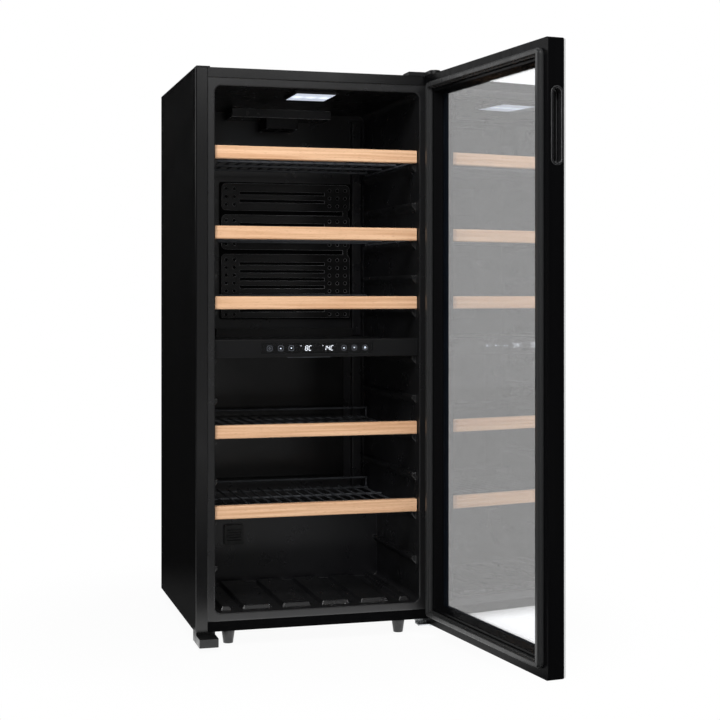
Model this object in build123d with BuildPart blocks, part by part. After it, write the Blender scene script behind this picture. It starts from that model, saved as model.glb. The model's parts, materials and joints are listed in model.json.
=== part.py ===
"""Free-standing two-zone wine cooler: steel cabinet, glass door, five sliding shelves, compressor."""
import os
from math import atan2, cos, degrees, radians, sin, tan

from build123d import *

os.makedirs("parts", exist_ok=True)

# Millimetres. X runs to the right, Y to the back and Z up. The origin is on the floor, under the
# middle of the cabinet. The door is modelled open, as it stands at rest.

# Cabinet sheet metal
CABINET_WIDTH = 540
CABINET_DEPTH = 504
FOOT_HEIGHT = 34
SHEET = 1.2
FOLD_RADIUS = 3
SIDE_FLANGE = 25.5
TOP_FLANGE = 21
BOTTOM_FLANGE = 21
BEAD_WIDTH = 14
BEAD_RISE = 2.5
BEAD_COUNT = 5

# Chamber and its moulded liner
SIDE_WALL = 41.5
TOP_WALL = 38
BOTTOM_WALL = 38
BACK_WALL = 58
LINER = 2.5
CORNER_RADIUS = 14
STEP_DEPTH = 118
STEP_RISE = 172
STEP_FOAM = 30
PAD_RISE = 9
GROOVE_WIDTH = 23
GROOVE_PITCH = 88
GROOVE_COUNT = 5
PAD_MARGIN = 16
MOULD_TAPER = 25
LEDGE_REACH = 10
LEDGE_HEIGHT = 20
LEDGE_EDGE = 7
LEDGE_SETBACK = 24

# Clearances
SEAM = 0.3
RUN = 0.3
WELD_GAP = 0.05
PIN_FIT = 0.08

# Bays, from the step over the compressor up to the ceiling: these make the cabinet's height
LOW_SHELF_GAP = 26
SHELF_5_BAY = 172
SHELF_4_BAY = 173
DIVIDER_BAY = 71
SHELF_3_BAY = 151
SHELF_2_BAY = 172
SHELF_1_BAY = 154

# Shelves
FRONT_SETBACK = 11.5
FRONT_HEIGHT = 28
FRONT_THICKNESS = 20
FRONT_SIDE_GAP = 2.5
FRONT_ROUND = 3
WIRE_GROOVE_HEIGHT = 6
WIRE_GROOVE_DEPTH = 7
WIRE_LEVEL = 12
WIRE = 4
WIRE_PITCH = 25
CROSS_WIRE = 5
CROSS_WIRE_COUNT = 4
CROSS_WIRE_INSET = 14
RAIL_WIRE = 6
WIRE_SIDES = 8
RACK_BACK_GAP = 40.9
STOP_RISE = 18

# Divider between the zones, with the control panel
DIVIDER_HEIGHT = 39
DIVIDER_SLAB = 33
FASCIA_SETBACK = 12
FASCIA_THICKNESS = 18
FASCIA_ROUND = 2
WINDOW_WIDTH = 250
WINDOW_HEIGHT = 23
WINDOW_THICKNESS = 1.5
DISPLAY_WIDTH = 28
DISPLAY_HEIGHT = 13
DISPLAY_DEPTH = 8
DISPLAY_SPACING = 50
BOARD_WIDTH = 236
BOARD_HEIGHT = 24
BOARD_THICKNESS = 1.6

# Lamps
LAMP_WIDTH = 88
LAMP_DEPTH = 110
LAMP_RIM = 5
LAMP_RISE = 7
LAMP_LENS = 3
LAMP_SETBACK = 33
LAMP_OFFSET = 3
LOW_LAMP_WIDTH = 95
LOW_LAMP_DEPTH = 12
LOW_LAMP_RISE = 4
LOW_LAMP_DROP = 2
LOW_LAMP_ROUND = 1
LOW_LAMP_OFFSET = -12
LOW_LAMP_SETBACK = 8

# Cooling inside the chamber
BLOWN_RISE = 43
BLOWN_LEFT_GAP = 91.5
BLOWN_DUCT_GAP = 2
BLOWN_MARGIN = 3
FIRST_ROW = 11.5
ROW_PITCH = 19.1
GROUP_ROWS = (8, 4, 3)
GROUP_MARGIN = 14
GROUP_ROUND = 12
SPOT = 8
SPOT_SIDES = 8
SPOT_PITCH = 20
LEFT_SPOTS = 2
RIGHT_SPOTS = 3
ISLAND = 6.5
ISLAND_GAP = 5
LINK = 12
TRAY_OVERHANG = 13
TRAY_DEPTH = 32
TRAY_RISE = 20
TRAY_WALL = 2
HOOD_WIDTH = 244
HOOD_DEPTH = 83
HOOD_RISE = 21
HOOD_WALL = 2
FAN_SIZE = 80
FAN_DEPTH = 25
FAN_BORE = 74
FAN_TIP_GAP = 2
FAN_HUB = 30
FAN_HUB_ROUND = 2
FAN_BLADES = 7
BLADE_CHORD = 20
BLADE_THICKNESS = 1.6
BLADE_PITCH = 38
FAN_SPOKE = 6
FAN_SPOKE_RISE = 3
PLATE_SIDE_GAP = 55.5
PLATE_TOP_GAP = 12
PLATE_LOW_GAP = 53
PLATE_THICKNESS = 2
PLATE_STANDOFF = 6
PLATE_BOSS = 10
CHANNEL_WIDTH = 10
CHANNEL_RISE = 2
CHANNEL_RUNS = 6
CHANNEL_MARGIN = 34
DUCT_WIDTH = 26
DUCT_DEPTH = 12
DUCT_INSET = 8.5
SENSOR_WIDTH = 16
SENSOR_HEIGHT = 34
SENSOR_DEPTH = 7
FILTER_SIZE = 46
FILTER_DEPTH = 8
FILTER_INSET = 103.5
FILTER_RISE = 114
FILTER_SLOT = 3
FILTER_SLOTS = 5

# Compressor bay
BASE_THICKNESS = 1.5
BASE_LIP = 14
GROMMET = 22
GROMMET_HEIGHT = 12
COMPRESSOR_LENGTH = 150
COMPRESSOR_DEPTH = 108
COMPRESSOR_HEIGHT = 138
COMPRESSOR_INSET = 200
COMPRESSOR_DOME = 34
COMPRESSOR_SEAM = 4
LEG_LENGTH = 190
LEG_DEPTH = 84
LEG_THICKNESS = 3
LEG_HOLE = 10
HOLE_INSET = 12
GROMMET_NECK = 9.4
RELAY_WIDTH = 34
RELAY_DEPTH = 48
RELAY_HEIGHT = 62
PAN_WALL = 1.5
PAN_HEIGHT = 16
PAN_LENGTH = 130
PAN_DEPTH = 90
PAN_ROUND = 10
DRIER_DIAMETER = 18
DRIER_LENGTH = 105
DRIER_NECK = 6
DRIER_TAPER = 14
DRIER_INSET = 120
DRIER_DROP = 71.5
DRIER_STANDOFF = 12
CLIP_WIDTH = 16
GRILLE_SLOT = 60
GRILLE_SLOT_HEIGHT = 6
GRILLE_COLUMNS = 6
GRILLE_ROWS = 7
GRILLE_COLUMN_PITCH = 74
GRILLE_ROW_PITCH = 16
GLAND_DIAMETER = 18
GLAND_NECK = 12
GLAND_FLANGE = 2
GLAND_BORE = 7
GLAND_REACH = 8
GLAND_TAPER = 12
GLAND_INSET = 20

# Door
DOOR_OPEN = 96.5
DOOR_GAP = 12
DOOR_THICKNESS = 38
DOOR_DROP = 6
HINGE_GAP = 1
DOOR_FRAME = 45
DOOR_CORNER = 5
PIN_INSET = 15
PIN_DEPTH = 13
GLASS = 4
GLASS_REVEAL = 1
AIR_GAP = 10
SPACER_WIDTH = 8
PANE_LAP = 10
BEAD_SLOPE = 14
GASKET_INSET = 17
GASKET_WIDTH = 16
GASKET_LIP = 9
GASKET_BASE = 6
HANDLE_LENGTH = 144
HANDLE_WIDTH = 21
HANDLE_DEPTH = 20
HANDLE_WALL = 1.6
HANDLE_RIM = 2.5
HANDLE_RIM_DEPTH = 2
HANDLE_DROP = 94
HANDLE_CENTRE = 19.5

# Hinges and the fittings at the corners
PIN_DIAMETER = 8
PIN_LENGTH = 18
BUSH_DIAMETER = 13
BUSH_LENGTH = 20
BRACKET = 3
BRACKET_WIDTH = 60
BRACKET_TAIL = 40
BRACKET_SETBACK = 4
BRACKET_NOSE = 11
COVER_HEIGHT = 9
COVER_WALL = 2
LOW_BRACKET_WIDTH = 46
LOW_BRACKET_TAIL = 46
JOGGLE = 6
CAP_WIDTH = 30
CAP_DEPTH = 42
CAP_HEIGHT = 2.5
REST_WIDTH = 41
EDGE_INSET = 2
REST_REACH = 39
REST_TAIL = 43
REST_HEIGHT = 18
REST_GAP = 0.5
EDGE_ROUND = 3
FOOT_INSET = 78
FOOT_SETBACK = 42
FOOT_TOP = 28
FOOT_TIP = 21
FOOT_COLLAR = 9
STUD = 8
STUD_LENGTH = 16
STUD_HOLE = 10
STUD_POCKET = 18
REAR_FOOT_SETBACK = 44
REAR_FOOT_TOP = 34
REAR_FOOT_TIP = 26

# Places worked out from the sizes above
HALF_WIDTH = CABINET_WIDTH / 2
FRONT = -CABINET_DEPTH / 2
BACK = CABINET_DEPTH / 2
BOX_BOTTOM = FOOT_HEIGHT
CHAMBER_WIDTH = CABINET_WIDTH - 2 * SIDE_WALL
HALF_CHAMBER = CHAMBER_WIDTH / 2
CHAMBER_FLOOR = BOX_BOTTOM + BOTTOM_WALL
STEP_TOP = CHAMBER_FLOOR + STEP_RISE
SHELF_5_LEVEL = STEP_TOP + LOW_SHELF_GAP
SHELF_4_LEVEL = SHELF_5_LEVEL + SHELF_5_BAY
DIVIDER_BOTTOM = SHELF_4_LEVEL + SHELF_4_BAY
DIVIDER_FACE = DIVIDER_BOTTOM + DIVIDER_SLAB
SHELF_3_LEVEL = DIVIDER_FACE + DIVIDER_BAY
SHELF_2_LEVEL = SHELF_3_LEVEL + SHELF_3_BAY
SHELF_1_LEVEL = SHELF_2_LEVEL + SHELF_2_BAY
SHELF_LEVELS = (SHELF_1_LEVEL, SHELF_2_LEVEL, SHELF_3_LEVEL, SHELF_4_LEVEL, SHELF_5_LEVEL)
CHAMBER_CEILING = SHELF_1_LEVEL + SHELF_1_BAY
BOX_TOP = CHAMBER_CEILING + TOP_WALL
CABINET_HEIGHT = BOX_TOP - BOX_BOTTOM
CHAMBER_HEIGHT = CHAMBER_CEILING - CHAMBER_FLOOR
CHAMBER_MIDDLE = (CHAMBER_CEILING + CHAMBER_FLOOR) / 2
CHAMBER_BACK = BACK - BACK_WALL
STEP_FRONT = CHAMBER_BACK - STEP_DEPTH
BAY_FRONT = STEP_FRONT + LINER + STEP_FOAM
BAY_TOP = STEP_TOP - LINER - STEP_FOAM
INNER_WIDTH = CABINET_WIDTH - 2 * SHEET - 2 * SEAM
FLANGE_WIDTH = CABINET_WIDTH - 2 * SIDE_FLANGE - 2 * SEAM
FOOT_SPAN = CABINET_WIDTH - 2 * FOOT_INSET
PIN_X = HALF_WIDTH - PIN_INSET
PIN_Y = FRONT - DOOR_GAP - PIN_DEPTH
DOOR_WIDTH = CABINET_WIDTH
DOOR_BOTTOM = BOX_BOTTOM - DOOR_DROP
DOOR_TOP = BOX_TOP - HINGE_GAP
DOOR_HEIGHT = DOOR_TOP - DOOR_BOTTOM


def upright(y):
    """Plane facing the front at depth y: its x is X, its y is Z, and minus amounts go to the back."""
    return Plane.XZ.offset(-y)


def side_on(x):
    """Plane facing the right side at x: its x is Y and its y is Z."""
    return Plane.YZ.offset(x)


def level(z):
    """Horizontal plane at height z."""
    return Plane.XY.offset(z)


def save(piece, name):
    """Labels a finished piece and writes its file."""
    piece.part.label = name
    export_step(piece.part, f"parts/{name}.step")


# Side panels: painted sheet, folded inwards at the front into a flange
with BuildPart() as side_panel_right:
    with BuildSketch(level(BOX_BOTTOM)) as side_fold:
        with BuildLine():
            Polyline(
                (HALF_WIDTH, BACK),
                (HALF_WIDTH, FRONT),
                (HALF_WIDTH - SIDE_FLANGE, FRONT),
                (HALF_WIDTH - SIDE_FLANGE, FRONT + SHEET),
                (HALF_WIDTH - SHEET, FRONT + SHEET),
                (HALF_WIDTH - SHEET, BACK),
                close=True,
            )
        make_face()
        fillet(side_fold.vertices().sort_by_distance((HALF_WIDTH, FRONT))[0], FOLD_RADIUS)
    extrude(amount=CABINET_HEIGHT - SHEET)
save(side_panel_right, "side_panel_right")

with BuildPart() as side_panel_left:
    mirror(side_panel_right.part, about=Plane.YZ)
save(side_panel_left, "side_panel_left")

# Top panel: a sheet over the sides, folded down at the front between the side flanges
with BuildPart() as top_panel:
    with BuildSketch(level(BOX_TOP - SHEET)):
        Rectangle(CABINET_WIDTH, CABINET_DEPTH)
    extrude(amount=SHEET)
    with BuildSketch(upright(FRONT)):
        with Locations((0, BOX_TOP - TOP_FLANGE / 2)):
            Rectangle(FLANGE_WIDTH, TOP_FLANGE)
    extrude(amount=-SHEET)
    fillet(top_panel.edges().filter_by(Axis.X).group_by(Axis.Z)[-1].sort_by(Axis.Y)[0], SHEET)
save(top_panel, "top_panel")

# Bottom panel: one bent sheet under the floor, up the compressor bay and over its roof
with BuildPart() as bottom_panel:
    with BuildSketch(side_on(0)):
        with BuildLine():
            Polyline(
                (FRONT + SHEET + SEAM, BOX_BOTTOM),
                (BAY_FRONT, BOX_BOTTOM),
                (BAY_FRONT, BAY_TOP),
                (BACK - SHEET - SEAM, BAY_TOP),
                (BACK - SHEET - SEAM, BAY_TOP + SHEET),
                (BAY_FRONT - SHEET, BAY_TOP + SHEET),
                (BAY_FRONT - SHEET, BOX_BOTTOM + SHEET),
                (FRONT + SHEET + SEAM, BOX_BOTTOM + SHEET),
                close=True,
            )
        make_face()
    extrude(amount=INNER_WIDTH / 2, both=True)
    with BuildSketch(upright(FRONT)):
        with Locations((0, BOX_BOTTOM + BOTTOM_FLANGE / 2)):
            Rectangle(FLANGE_WIDTH, BOTTOM_FLANGE)
    extrude(amount=-SHEET)
    with BuildSketch(level(BOX_BOTTOM)):
        with Locations((0, FRONT + SHEET + SEAM / 2)):
            Rectangle(FLANGE_WIDTH, 2 * SHEET + SEAM)
    extrude(amount=SHEET)
    with BuildSketch(level(BOX_BOTTOM)):
        with Locations((0, FRONT + FOOT_SETBACK)):
            with GridLocations(FOOT_SPAN, 0, 2, 1):
                Circle(STUD_HOLE / 2)
    extrude(amount=SHEET, mode=Mode.SUBTRACT)
save(bottom_panel, "bottom_panel")

# Back panel with pressed stiffening beads
back_height = BOX_TOP - SHEET - SEAM - BAY_TOP - SHEET
back_middle = BAY_TOP + SHEET + back_height / 2
with BuildPart() as back_panel:
    with BuildSketch(upright(BACK - SHEET)):
        with Locations((0, back_middle)):
            Rectangle(INNER_WIDTH, back_height)
    extrude(amount=-SHEET)
    with BuildSketch(upright(BACK)):
        with Locations((0, back_middle)):
            with GridLocations(0, back_height / BEAD_COUNT, 1, BEAD_COUNT):
                SlotOverall(CHAMBER_WIDTH, BEAD_WIDTH)
    extrude(amount=-BEAD_RISE, taper=MOULD_TAPER)
save(back_panel, "back_panel")

# Outside of the moulded liner, which the foam is cast around
with BuildPart() as liner_outside:
    with BuildSketch(upright(FRONT)):
        with Locations((0, CHAMBER_MIDDLE)):
            RectangleRounded(
                CHAMBER_WIDTH + 2 * LINER, CHAMBER_HEIGHT + 2 * LINER, CORNER_RADIUS + LINER
            )
    extrude(amount=-(CHAMBER_BACK + LINER - FRONT))
    with BuildSketch(side_on(0)):
        with Locations((STEP_FRONT + LINER, STEP_TOP - LINER)):
            Rectangle(2 * STEP_DEPTH, 2 * STEP_RISE, align=(Align.MIN, Align.MAX))
    extrude(amount=CABINET_WIDTH, both=True, mode=Mode.SUBTRACT)

# Space inside the chamber
with BuildPart() as chamber:
    with BuildSketch(upright(FRONT)):
        with Locations((0, CHAMBER_MIDDLE)):
            RectangleRounded(CHAMBER_WIDTH, CHAMBER_HEIGHT, CORNER_RADIUS)
    extrude(amount=-(CHAMBER_BACK - FRONT))
    with BuildSketch(side_on(0)):
        with Locations((STEP_FRONT, STEP_TOP)):
            Rectangle(2 * STEP_DEPTH, 2 * STEP_RISE, align=(Align.MIN, Align.MAX))
    extrude(amount=CABINET_WIDTH, both=True, mode=Mode.SUBTRACT)

# Rack heights that the ledges carry
RACK_SINK = RAIL_WIRE + CROSS_WIRE + WIRE / 2 + 2 * WELD_GAP - WIRE_LEVEL
spare_levels = [
    (SHELF_1_LEVEL + SHELF_2_LEVEL) / 2,
    (SHELF_2_LEVEL + SHELF_3_LEVEL) / 2,
    (SHELF_4_LEVEL + DIVIDER_BOTTOM) / 2,
    (SHELF_4_LEVEL + SHELF_5_LEVEL) / 2,
    (SHELF_5_LEVEL + CHAMBER_FLOOR) / 2,
]
ledge_tops = [z - RACK_SINK - RUN for z in (*SHELF_LEVELS, *spare_levels)]
ledge_tops.append(DIVIDER_BOTTOM - SEAM)
RACK_FRONT = FRONT + FRONT_SETBACK + FRONT_THICKNESS - WIRE_GROOVE_DEPTH + 2 * RUN
RACK_BACK = CHAMBER_BACK - RACK_BACK_GAP
RACK_DEPTH = RACK_BACK - RACK_FRONT

# Inner liner: thin moulding with its front flange, shelf ledges, step and cradle floor
with BuildPart() as inner_liner:
    add(liner_outside.part)
    with BuildSketch(upright(FRONT)):
        with Locations((0, BOX_BOTTOM + CABINET_HEIGHT / 2)):
            Rectangle(FLANGE_WIDTH, CABINET_HEIGHT - TOP_FLANGE - BOTTOM_FLANGE - 2 * SEAM)
    extrude(amount=-LINER)
    add(chamber.part, mode=Mode.SUBTRACT)
    for ledge_top in ledge_tops:
        below_step = ledge_top - LEDGE_HEIGHT < STEP_TOP
        ledge_back = STEP_FRONT + LINER / 2 if below_step else RACK_BACK + LEDGE_REACH
        with BuildSketch(upright(FRONT + LEDGE_SETBACK)) as ledge_pair:
            with BuildLine():
                Polyline(
                    (HALF_CHAMBER + LINER / 2, ledge_top),
                    (HALF_CHAMBER - LEDGE_REACH, ledge_top),
                    (HALF_CHAMBER - LEDGE_REACH, ledge_top - LEDGE_EDGE),
                    (HALF_CHAMBER + LINER / 2, ledge_top - LEDGE_HEIGHT),
                    close=True,
                )
            make_face()
            mirror(about=Plane.YZ)
        extrude(amount=-(ledge_back - FRONT - LEDGE_SETBACK))
    pad_front = FRONT + LEDGE_SETBACK
    pad_back = STEP_FRONT - PAD_MARGIN
    with BuildSketch(level(CHAMBER_FLOOR - LINER / 2)):
        with Locations((0, (pad_front + pad_back) / 2)):
            Rectangle(CHAMBER_WIDTH - 2 * PAD_MARGIN, pad_back - pad_front)
            with GridLocations(GROOVE_PITCH, 0, GROOVE_COUNT, 1):
                Rectangle(GROOVE_WIDTH, pad_back - pad_front, mode=Mode.SUBTRACT)
    extrude(amount=PAD_RISE + LINER / 2, taper=MOULD_TAPER)
save(inner_liner, "inner_liner")

# Foam between the steel and the liner, clear of the bay and of the foot studs
with BuildPart() as insulation_foam:
    with BuildSketch(side_on(0)):
        with BuildLine():
            Polyline(
                (FRONT + LINER + SEAM, BOX_BOTTOM + SHEET + SEAM),
                (BAY_FRONT - SHEET - SEAM, BOX_BOTTOM + SHEET + SEAM),
                (BAY_FRONT - SHEET - SEAM, BAY_TOP + SHEET + SEAM),
                (BACK - SHEET - SEAM, BAY_TOP + SHEET + SEAM),
                (BACK - SHEET - SEAM, BOX_TOP - SHEET - SEAM),
                (FRONT + LINER + SEAM, BOX_TOP - SHEET - SEAM),
                close=True,
            )
        make_face()
    extrude(amount=INNER_WIDTH / 2, both=True)
    add(liner_outside.part, mode=Mode.SUBTRACT)
    with BuildSketch(level(BOX_BOTTOM)):
        with Locations((0, FRONT + FOOT_SETBACK)):
            with GridLocations(FOOT_SPAN, 0, 2, 1):
                Circle(STUD_HOLE / 2)
    extrude(amount=STUD_POCKET, mode=Mode.SUBTRACT)
save(insulation_foam, "insulation_foam")

# Shelves: a wooden front and a welded wire rack that slides on the ledges. The many wires have flat
# sides, turned so that flats meet where wires cross.
front_length = CHAMBER_WIDTH - 2 * FRONT_SIDE_GAP
rail_x = HALF_CHAMBER - LEDGE_REACH / 2 - RUN
wire_count = 2 * int((rail_x - RAIL_WIRE) / WIRE_PITCH) + 1
wire_turn = 180 / WIRE_SIDES
for number, shelf_level in enumerate(SHELF_LEVELS, start=1):
    wire_z = shelf_level + WIRE_LEVEL
    cross_z = wire_z - WIRE / 2 - CROSS_WIRE / 2 - WELD_GAP
    rail_z = cross_z - CROSS_WIRE / 2 - RAIL_WIRE / 2 - WELD_GAP
    front_y = FRONT + FRONT_SETBACK
    cross_front = FRONT + FRONT_SETBACK + FRONT_THICKNESS + CROSS_WIRE_INSET
    cross_back = RACK_BACK - CROSS_WIRE_INSET

    with BuildPart() as shelf_front:
        with BuildSketch(side_on(0)) as bar_section:
            with Locations((front_y, shelf_level)):
                Rectangle(FRONT_THICKNESS, FRONT_HEIGHT, align=(Align.MIN, Align.MIN))
            fillet(bar_section.vertices(), FRONT_ROUND)
            with Locations((front_y + FRONT_THICKNESS, wire_z)):
                Rectangle(
                    WIRE_GROOVE_DEPTH,
                    WIRE_GROOVE_HEIGHT,
                    align=(Align.MAX, Align.CENTER),
                    mode=Mode.SUBTRACT,
                )
        extrude(amount=front_length / 2, both=True)
    save(shelf_front, f"shelf_front_{number}")

    with BuildPart() as shelf_rack:
        with BuildSketch(upright(RACK_FRONT)):
            with Locations((0, wire_z)):
                with GridLocations(WIRE_PITCH, 0, wire_count, 1):
                    RegularPolygon(WIRE / 2, WIRE_SIDES, False, wire_turn)
        extrude(amount=-RACK_DEPTH)
        with BuildSketch(upright(front_y + FRONT_THICKNESS + RUN)):
            with Locations((0, rail_z)):
                with GridLocations(2 * rail_x, 0, 2, 1):
                    RegularPolygon(RAIL_WIRE / 2, WIRE_SIDES, False, wire_turn)
        extrude(amount=-(RACK_BACK - front_y - FRONT_THICKNESS - RUN))
        cross_step = (cross_back - cross_front) / (CROSS_WIRE_COUNT - 1)
        with BuildSketch(side_on(0)):
            with Locations((cross_front, cross_z)):
                with GridLocations(
                    cross_step, 0, CROSS_WIRE_COUNT, 1, align=(Align.MIN, Align.CENTER)
                ):
                    RegularPolygon(CROSS_WIRE / 2, WIRE_SIDES, False, wire_turn)
        extrude(amount=rail_x, both=True)
        stop_y = RACK_BACK + CROSS_WIRE / 2 + WELD_GAP
        stop_z = wire_z + STOP_RISE
        with BuildSketch(level(rail_z)):
            with Locations((0, stop_y)):
                with GridLocations(2 * rail_x, 0, 2, 1):
                    RegularPolygon(CROSS_WIRE / 2, WIRE_SIDES, False, wire_turn)
        extrude(amount=stop_z - CROSS_WIRE / 2 - WELD_GAP - rail_z)
        with BuildSketch(side_on(0)):
            with Locations((stop_y, stop_z)):
                RegularPolygon(CROSS_WIRE / 2, WIRE_SIDES, False, wire_turn)
        extrude(amount=rail_x + CROSS_WIRE / 2, both=True)
    save(shelf_rack, f"shelf_rack_{number}")

# Zone divider: insulated slab across the chamber, with a pocket for the lower lamp
slab_front = FRONT + FASCIA_SETBACK + FASCIA_THICKNESS + SEAM
low_lamp_y = slab_front + LOW_LAMP_SETBACK + LOW_LAMP_DEPTH / 2
with BuildPart() as zone_divider:
    with BuildSketch(level(DIVIDER_BOTTOM)):
        with Locations((0, (slab_front + CHAMBER_BACK - SEAM) / 2)):
            Rectangle(CHAMBER_WIDTH - 2 * SEAM, CHAMBER_BACK - SEAM - slab_front)
    extrude(amount=DIVIDER_SLAB)
    with BuildSketch(level(DIVIDER_BOTTOM)):
        with Locations((LOW_LAMP_OFFSET, low_lamp_y)):
            Rectangle(LOW_LAMP_WIDTH + 2 * SEAM, LOW_LAMP_DEPTH + 2 * SEAM)
    extrude(amount=LOW_LAMP_RISE, mode=Mode.SUBTRACT)
    fillet(zone_divider.edges().filter_by(Axis.X).group_by(Axis.Z)[-1], FASCIA_ROUND)
save(zone_divider, "zone_divider")

with BuildPart() as lower_lamp_lens:
    with BuildSketch(level(DIVIDER_BOTTOM - LOW_LAMP_DROP)):
        with Locations((LOW_LAMP_OFFSET, low_lamp_y)):
            Rectangle(LOW_LAMP_WIDTH, LOW_LAMP_DEPTH)
    extrude(amount=LOW_LAMP_DROP + LOW_LAMP_RISE - SEAM)
    fillet(lower_lamp_lens.edges().group_by(Axis.Z)[0], LOW_LAMP_ROUND)
save(lower_lamp_lens, "lower_lamp_lens")

# Control fascia on the divider's front edge, with its window, displays and circuit board
fascia_front = FRONT + FASCIA_SETBACK
fascia_back = fascia_front + FASCIA_THICKNESS
panel_z = DIVIDER_BOTTOM + DIVIDER_HEIGHT / 2
board_front = fascia_front + WINDOW_THICKNESS + SEAM + DISPLAY_DEPTH
with BuildPart() as control_fascia:
    with BuildSketch(upright(fascia_front)):
        with Locations((0, panel_z)):
            Rectangle(CHAMBER_WIDTH - 2 * SEAM, DIVIDER_HEIGHT)
    extrude(amount=-FASCIA_THICKNESS)
    fillet(control_fascia.edges().filter_by(Axis.X).group_by(Axis.Y)[0], FASCIA_ROUND)
    with BuildSketch(upright(fascia_front)):
        with Locations((0, panel_z)):
            Rectangle(WINDOW_WIDTH + 2 * SEAM, WINDOW_HEIGHT + 2 * SEAM)
    extrude(amount=-WINDOW_THICKNESS, mode=Mode.SUBTRACT)
    with BuildSketch(upright(fascia_front)):
        with Locations((0, panel_z)):
            with GridLocations(DISPLAY_SPACING, 0, 2, 1):
                Rectangle(DISPLAY_WIDTH + 2 * SEAM, DISPLAY_HEIGHT + 2 * SEAM)
    extrude(amount=-FASCIA_THICKNESS, mode=Mode.SUBTRACT)
    with BuildSketch(upright(board_front)):
        with Locations((0, panel_z)):
            Rectangle(BOARD_WIDTH + 2 * SEAM, BOARD_HEIGHT + 2 * SEAM)
    extrude(amount=-(fascia_back - board_front), mode=Mode.SUBTRACT)
save(control_fascia, "control_fascia")

with BuildPart() as control_window:
    with BuildSketch(upright(fascia_front)):
        with Locations((0, panel_z)):
            Rectangle(WINDOW_WIDTH, WINDOW_HEIGHT)
    extrude(amount=-WINDOW_THICKNESS)
save(control_window, "control_window")

with BuildPart() as led_displays:
    with BuildSketch(upright(fascia_front + WINDOW_THICKNESS + SEAM)):
        with Locations((0, panel_z)):
            with GridLocations(DISPLAY_SPACING, 0, 2, 1):
                Rectangle(DISPLAY_WIDTH, DISPLAY_HEIGHT)
    extrude(amount=-DISPLAY_DEPTH)
save(led_displays, "led_displays")

with BuildPart() as control_board:
    with BuildSketch(upright(board_front)):
        with Locations((0, panel_z)):
            Rectangle(BOARD_WIDTH, BOARD_HEIGHT)
    extrude(amount=-BOARD_THICKNESS)
save(control_board, "control_board")

# Ceiling lamp: a shallow housing with a lit lens
lamp_y = FRONT + LAMP_SETBACK + LAMP_DEPTH / 2
lamp_bottom = CHAMBER_CEILING - LAMP_RISE
with BuildPart() as lamp_housing:
    with BuildSketch(level(lamp_bottom)):
        with Locations((LAMP_OFFSET, lamp_y)):
            RectangleRounded(LAMP_WIDTH + 2 * LAMP_RIM, LAMP_DEPTH + 2 * LAMP_RIM, LAMP_RIM)
    extrude(amount=LAMP_RISE)
    with BuildSketch(level(lamp_bottom)):
        with Locations((LAMP_OFFSET, lamp_y)):
            Rectangle(LAMP_WIDTH + 2 * SEAM, LAMP_DEPTH + 2 * SEAM)
    extrude(amount=LAMP_LENS, mode=Mode.SUBTRACT)
save(lamp_housing, "lamp_housing")

with BuildPart() as lamp_lens:
    with BuildSketch(level(lamp_bottom)):
        with Locations((LAMP_OFFSET, lamp_y)):
            Rectangle(LAMP_WIDTH, LAMP_DEPTH)
    extrude(amount=LAMP_LENS)
    fillet(lamp_lens.edges().group_by(Axis.Z)[0], LAMP_LENS / 3)
save(lamp_lens, "lamp_lens")

# Evaporator of the upper zone: two bonded sheets, blown up by pressure into groups of channels. At
# both ends of a group the channels open into a header, held by round spots that stay bonded.
plate_front = CHAMBER_BACK - SEAM - PLATE_STANDOFF - PLATE_THICKNESS
blown_left = -HALF_CHAMBER + BLOWN_LEFT_GAP
blown_right = HALF_CHAMBER - DUCT_INSET - DUCT_WIDTH - BLOWN_DUCT_GAP
blown_width = blown_right - blown_left
blown_bottom = DIVIDER_FACE + BLOWN_RISE
row_steps = sum(GROUP_ROWS) + len(GROUP_ROWS) - 2
first_row = blown_bottom + FIRST_ROW
last_row = first_row + row_steps * ROW_PITCH
blown_height = last_row + GROUP_MARGIN + BLOWN_MARGIN - blown_bottom
blown_middle = ((blown_left + blown_right) / 2, blown_bottom + blown_height / 2)
channel_left = blown_left + BLOWN_MARGIN
channel_right = blown_right - BLOWN_MARGIN
spot_inset = GROUP_ROUND
island_left = channel_left + LEFT_SPOTS * SPOT_PITCH + ISLAND_GAP
island_right = channel_right - RIGHT_SPOTS * SPOT_PITCH - ISLAND_GAP
spot_places = [channel_left + spot_inset + i * SPOT_PITCH for i in range(LEFT_SPOTS)]
spot_places += [channel_right - spot_inset - i * SPOT_PITCH for i in range(RIGHT_SPOTS)]
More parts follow.
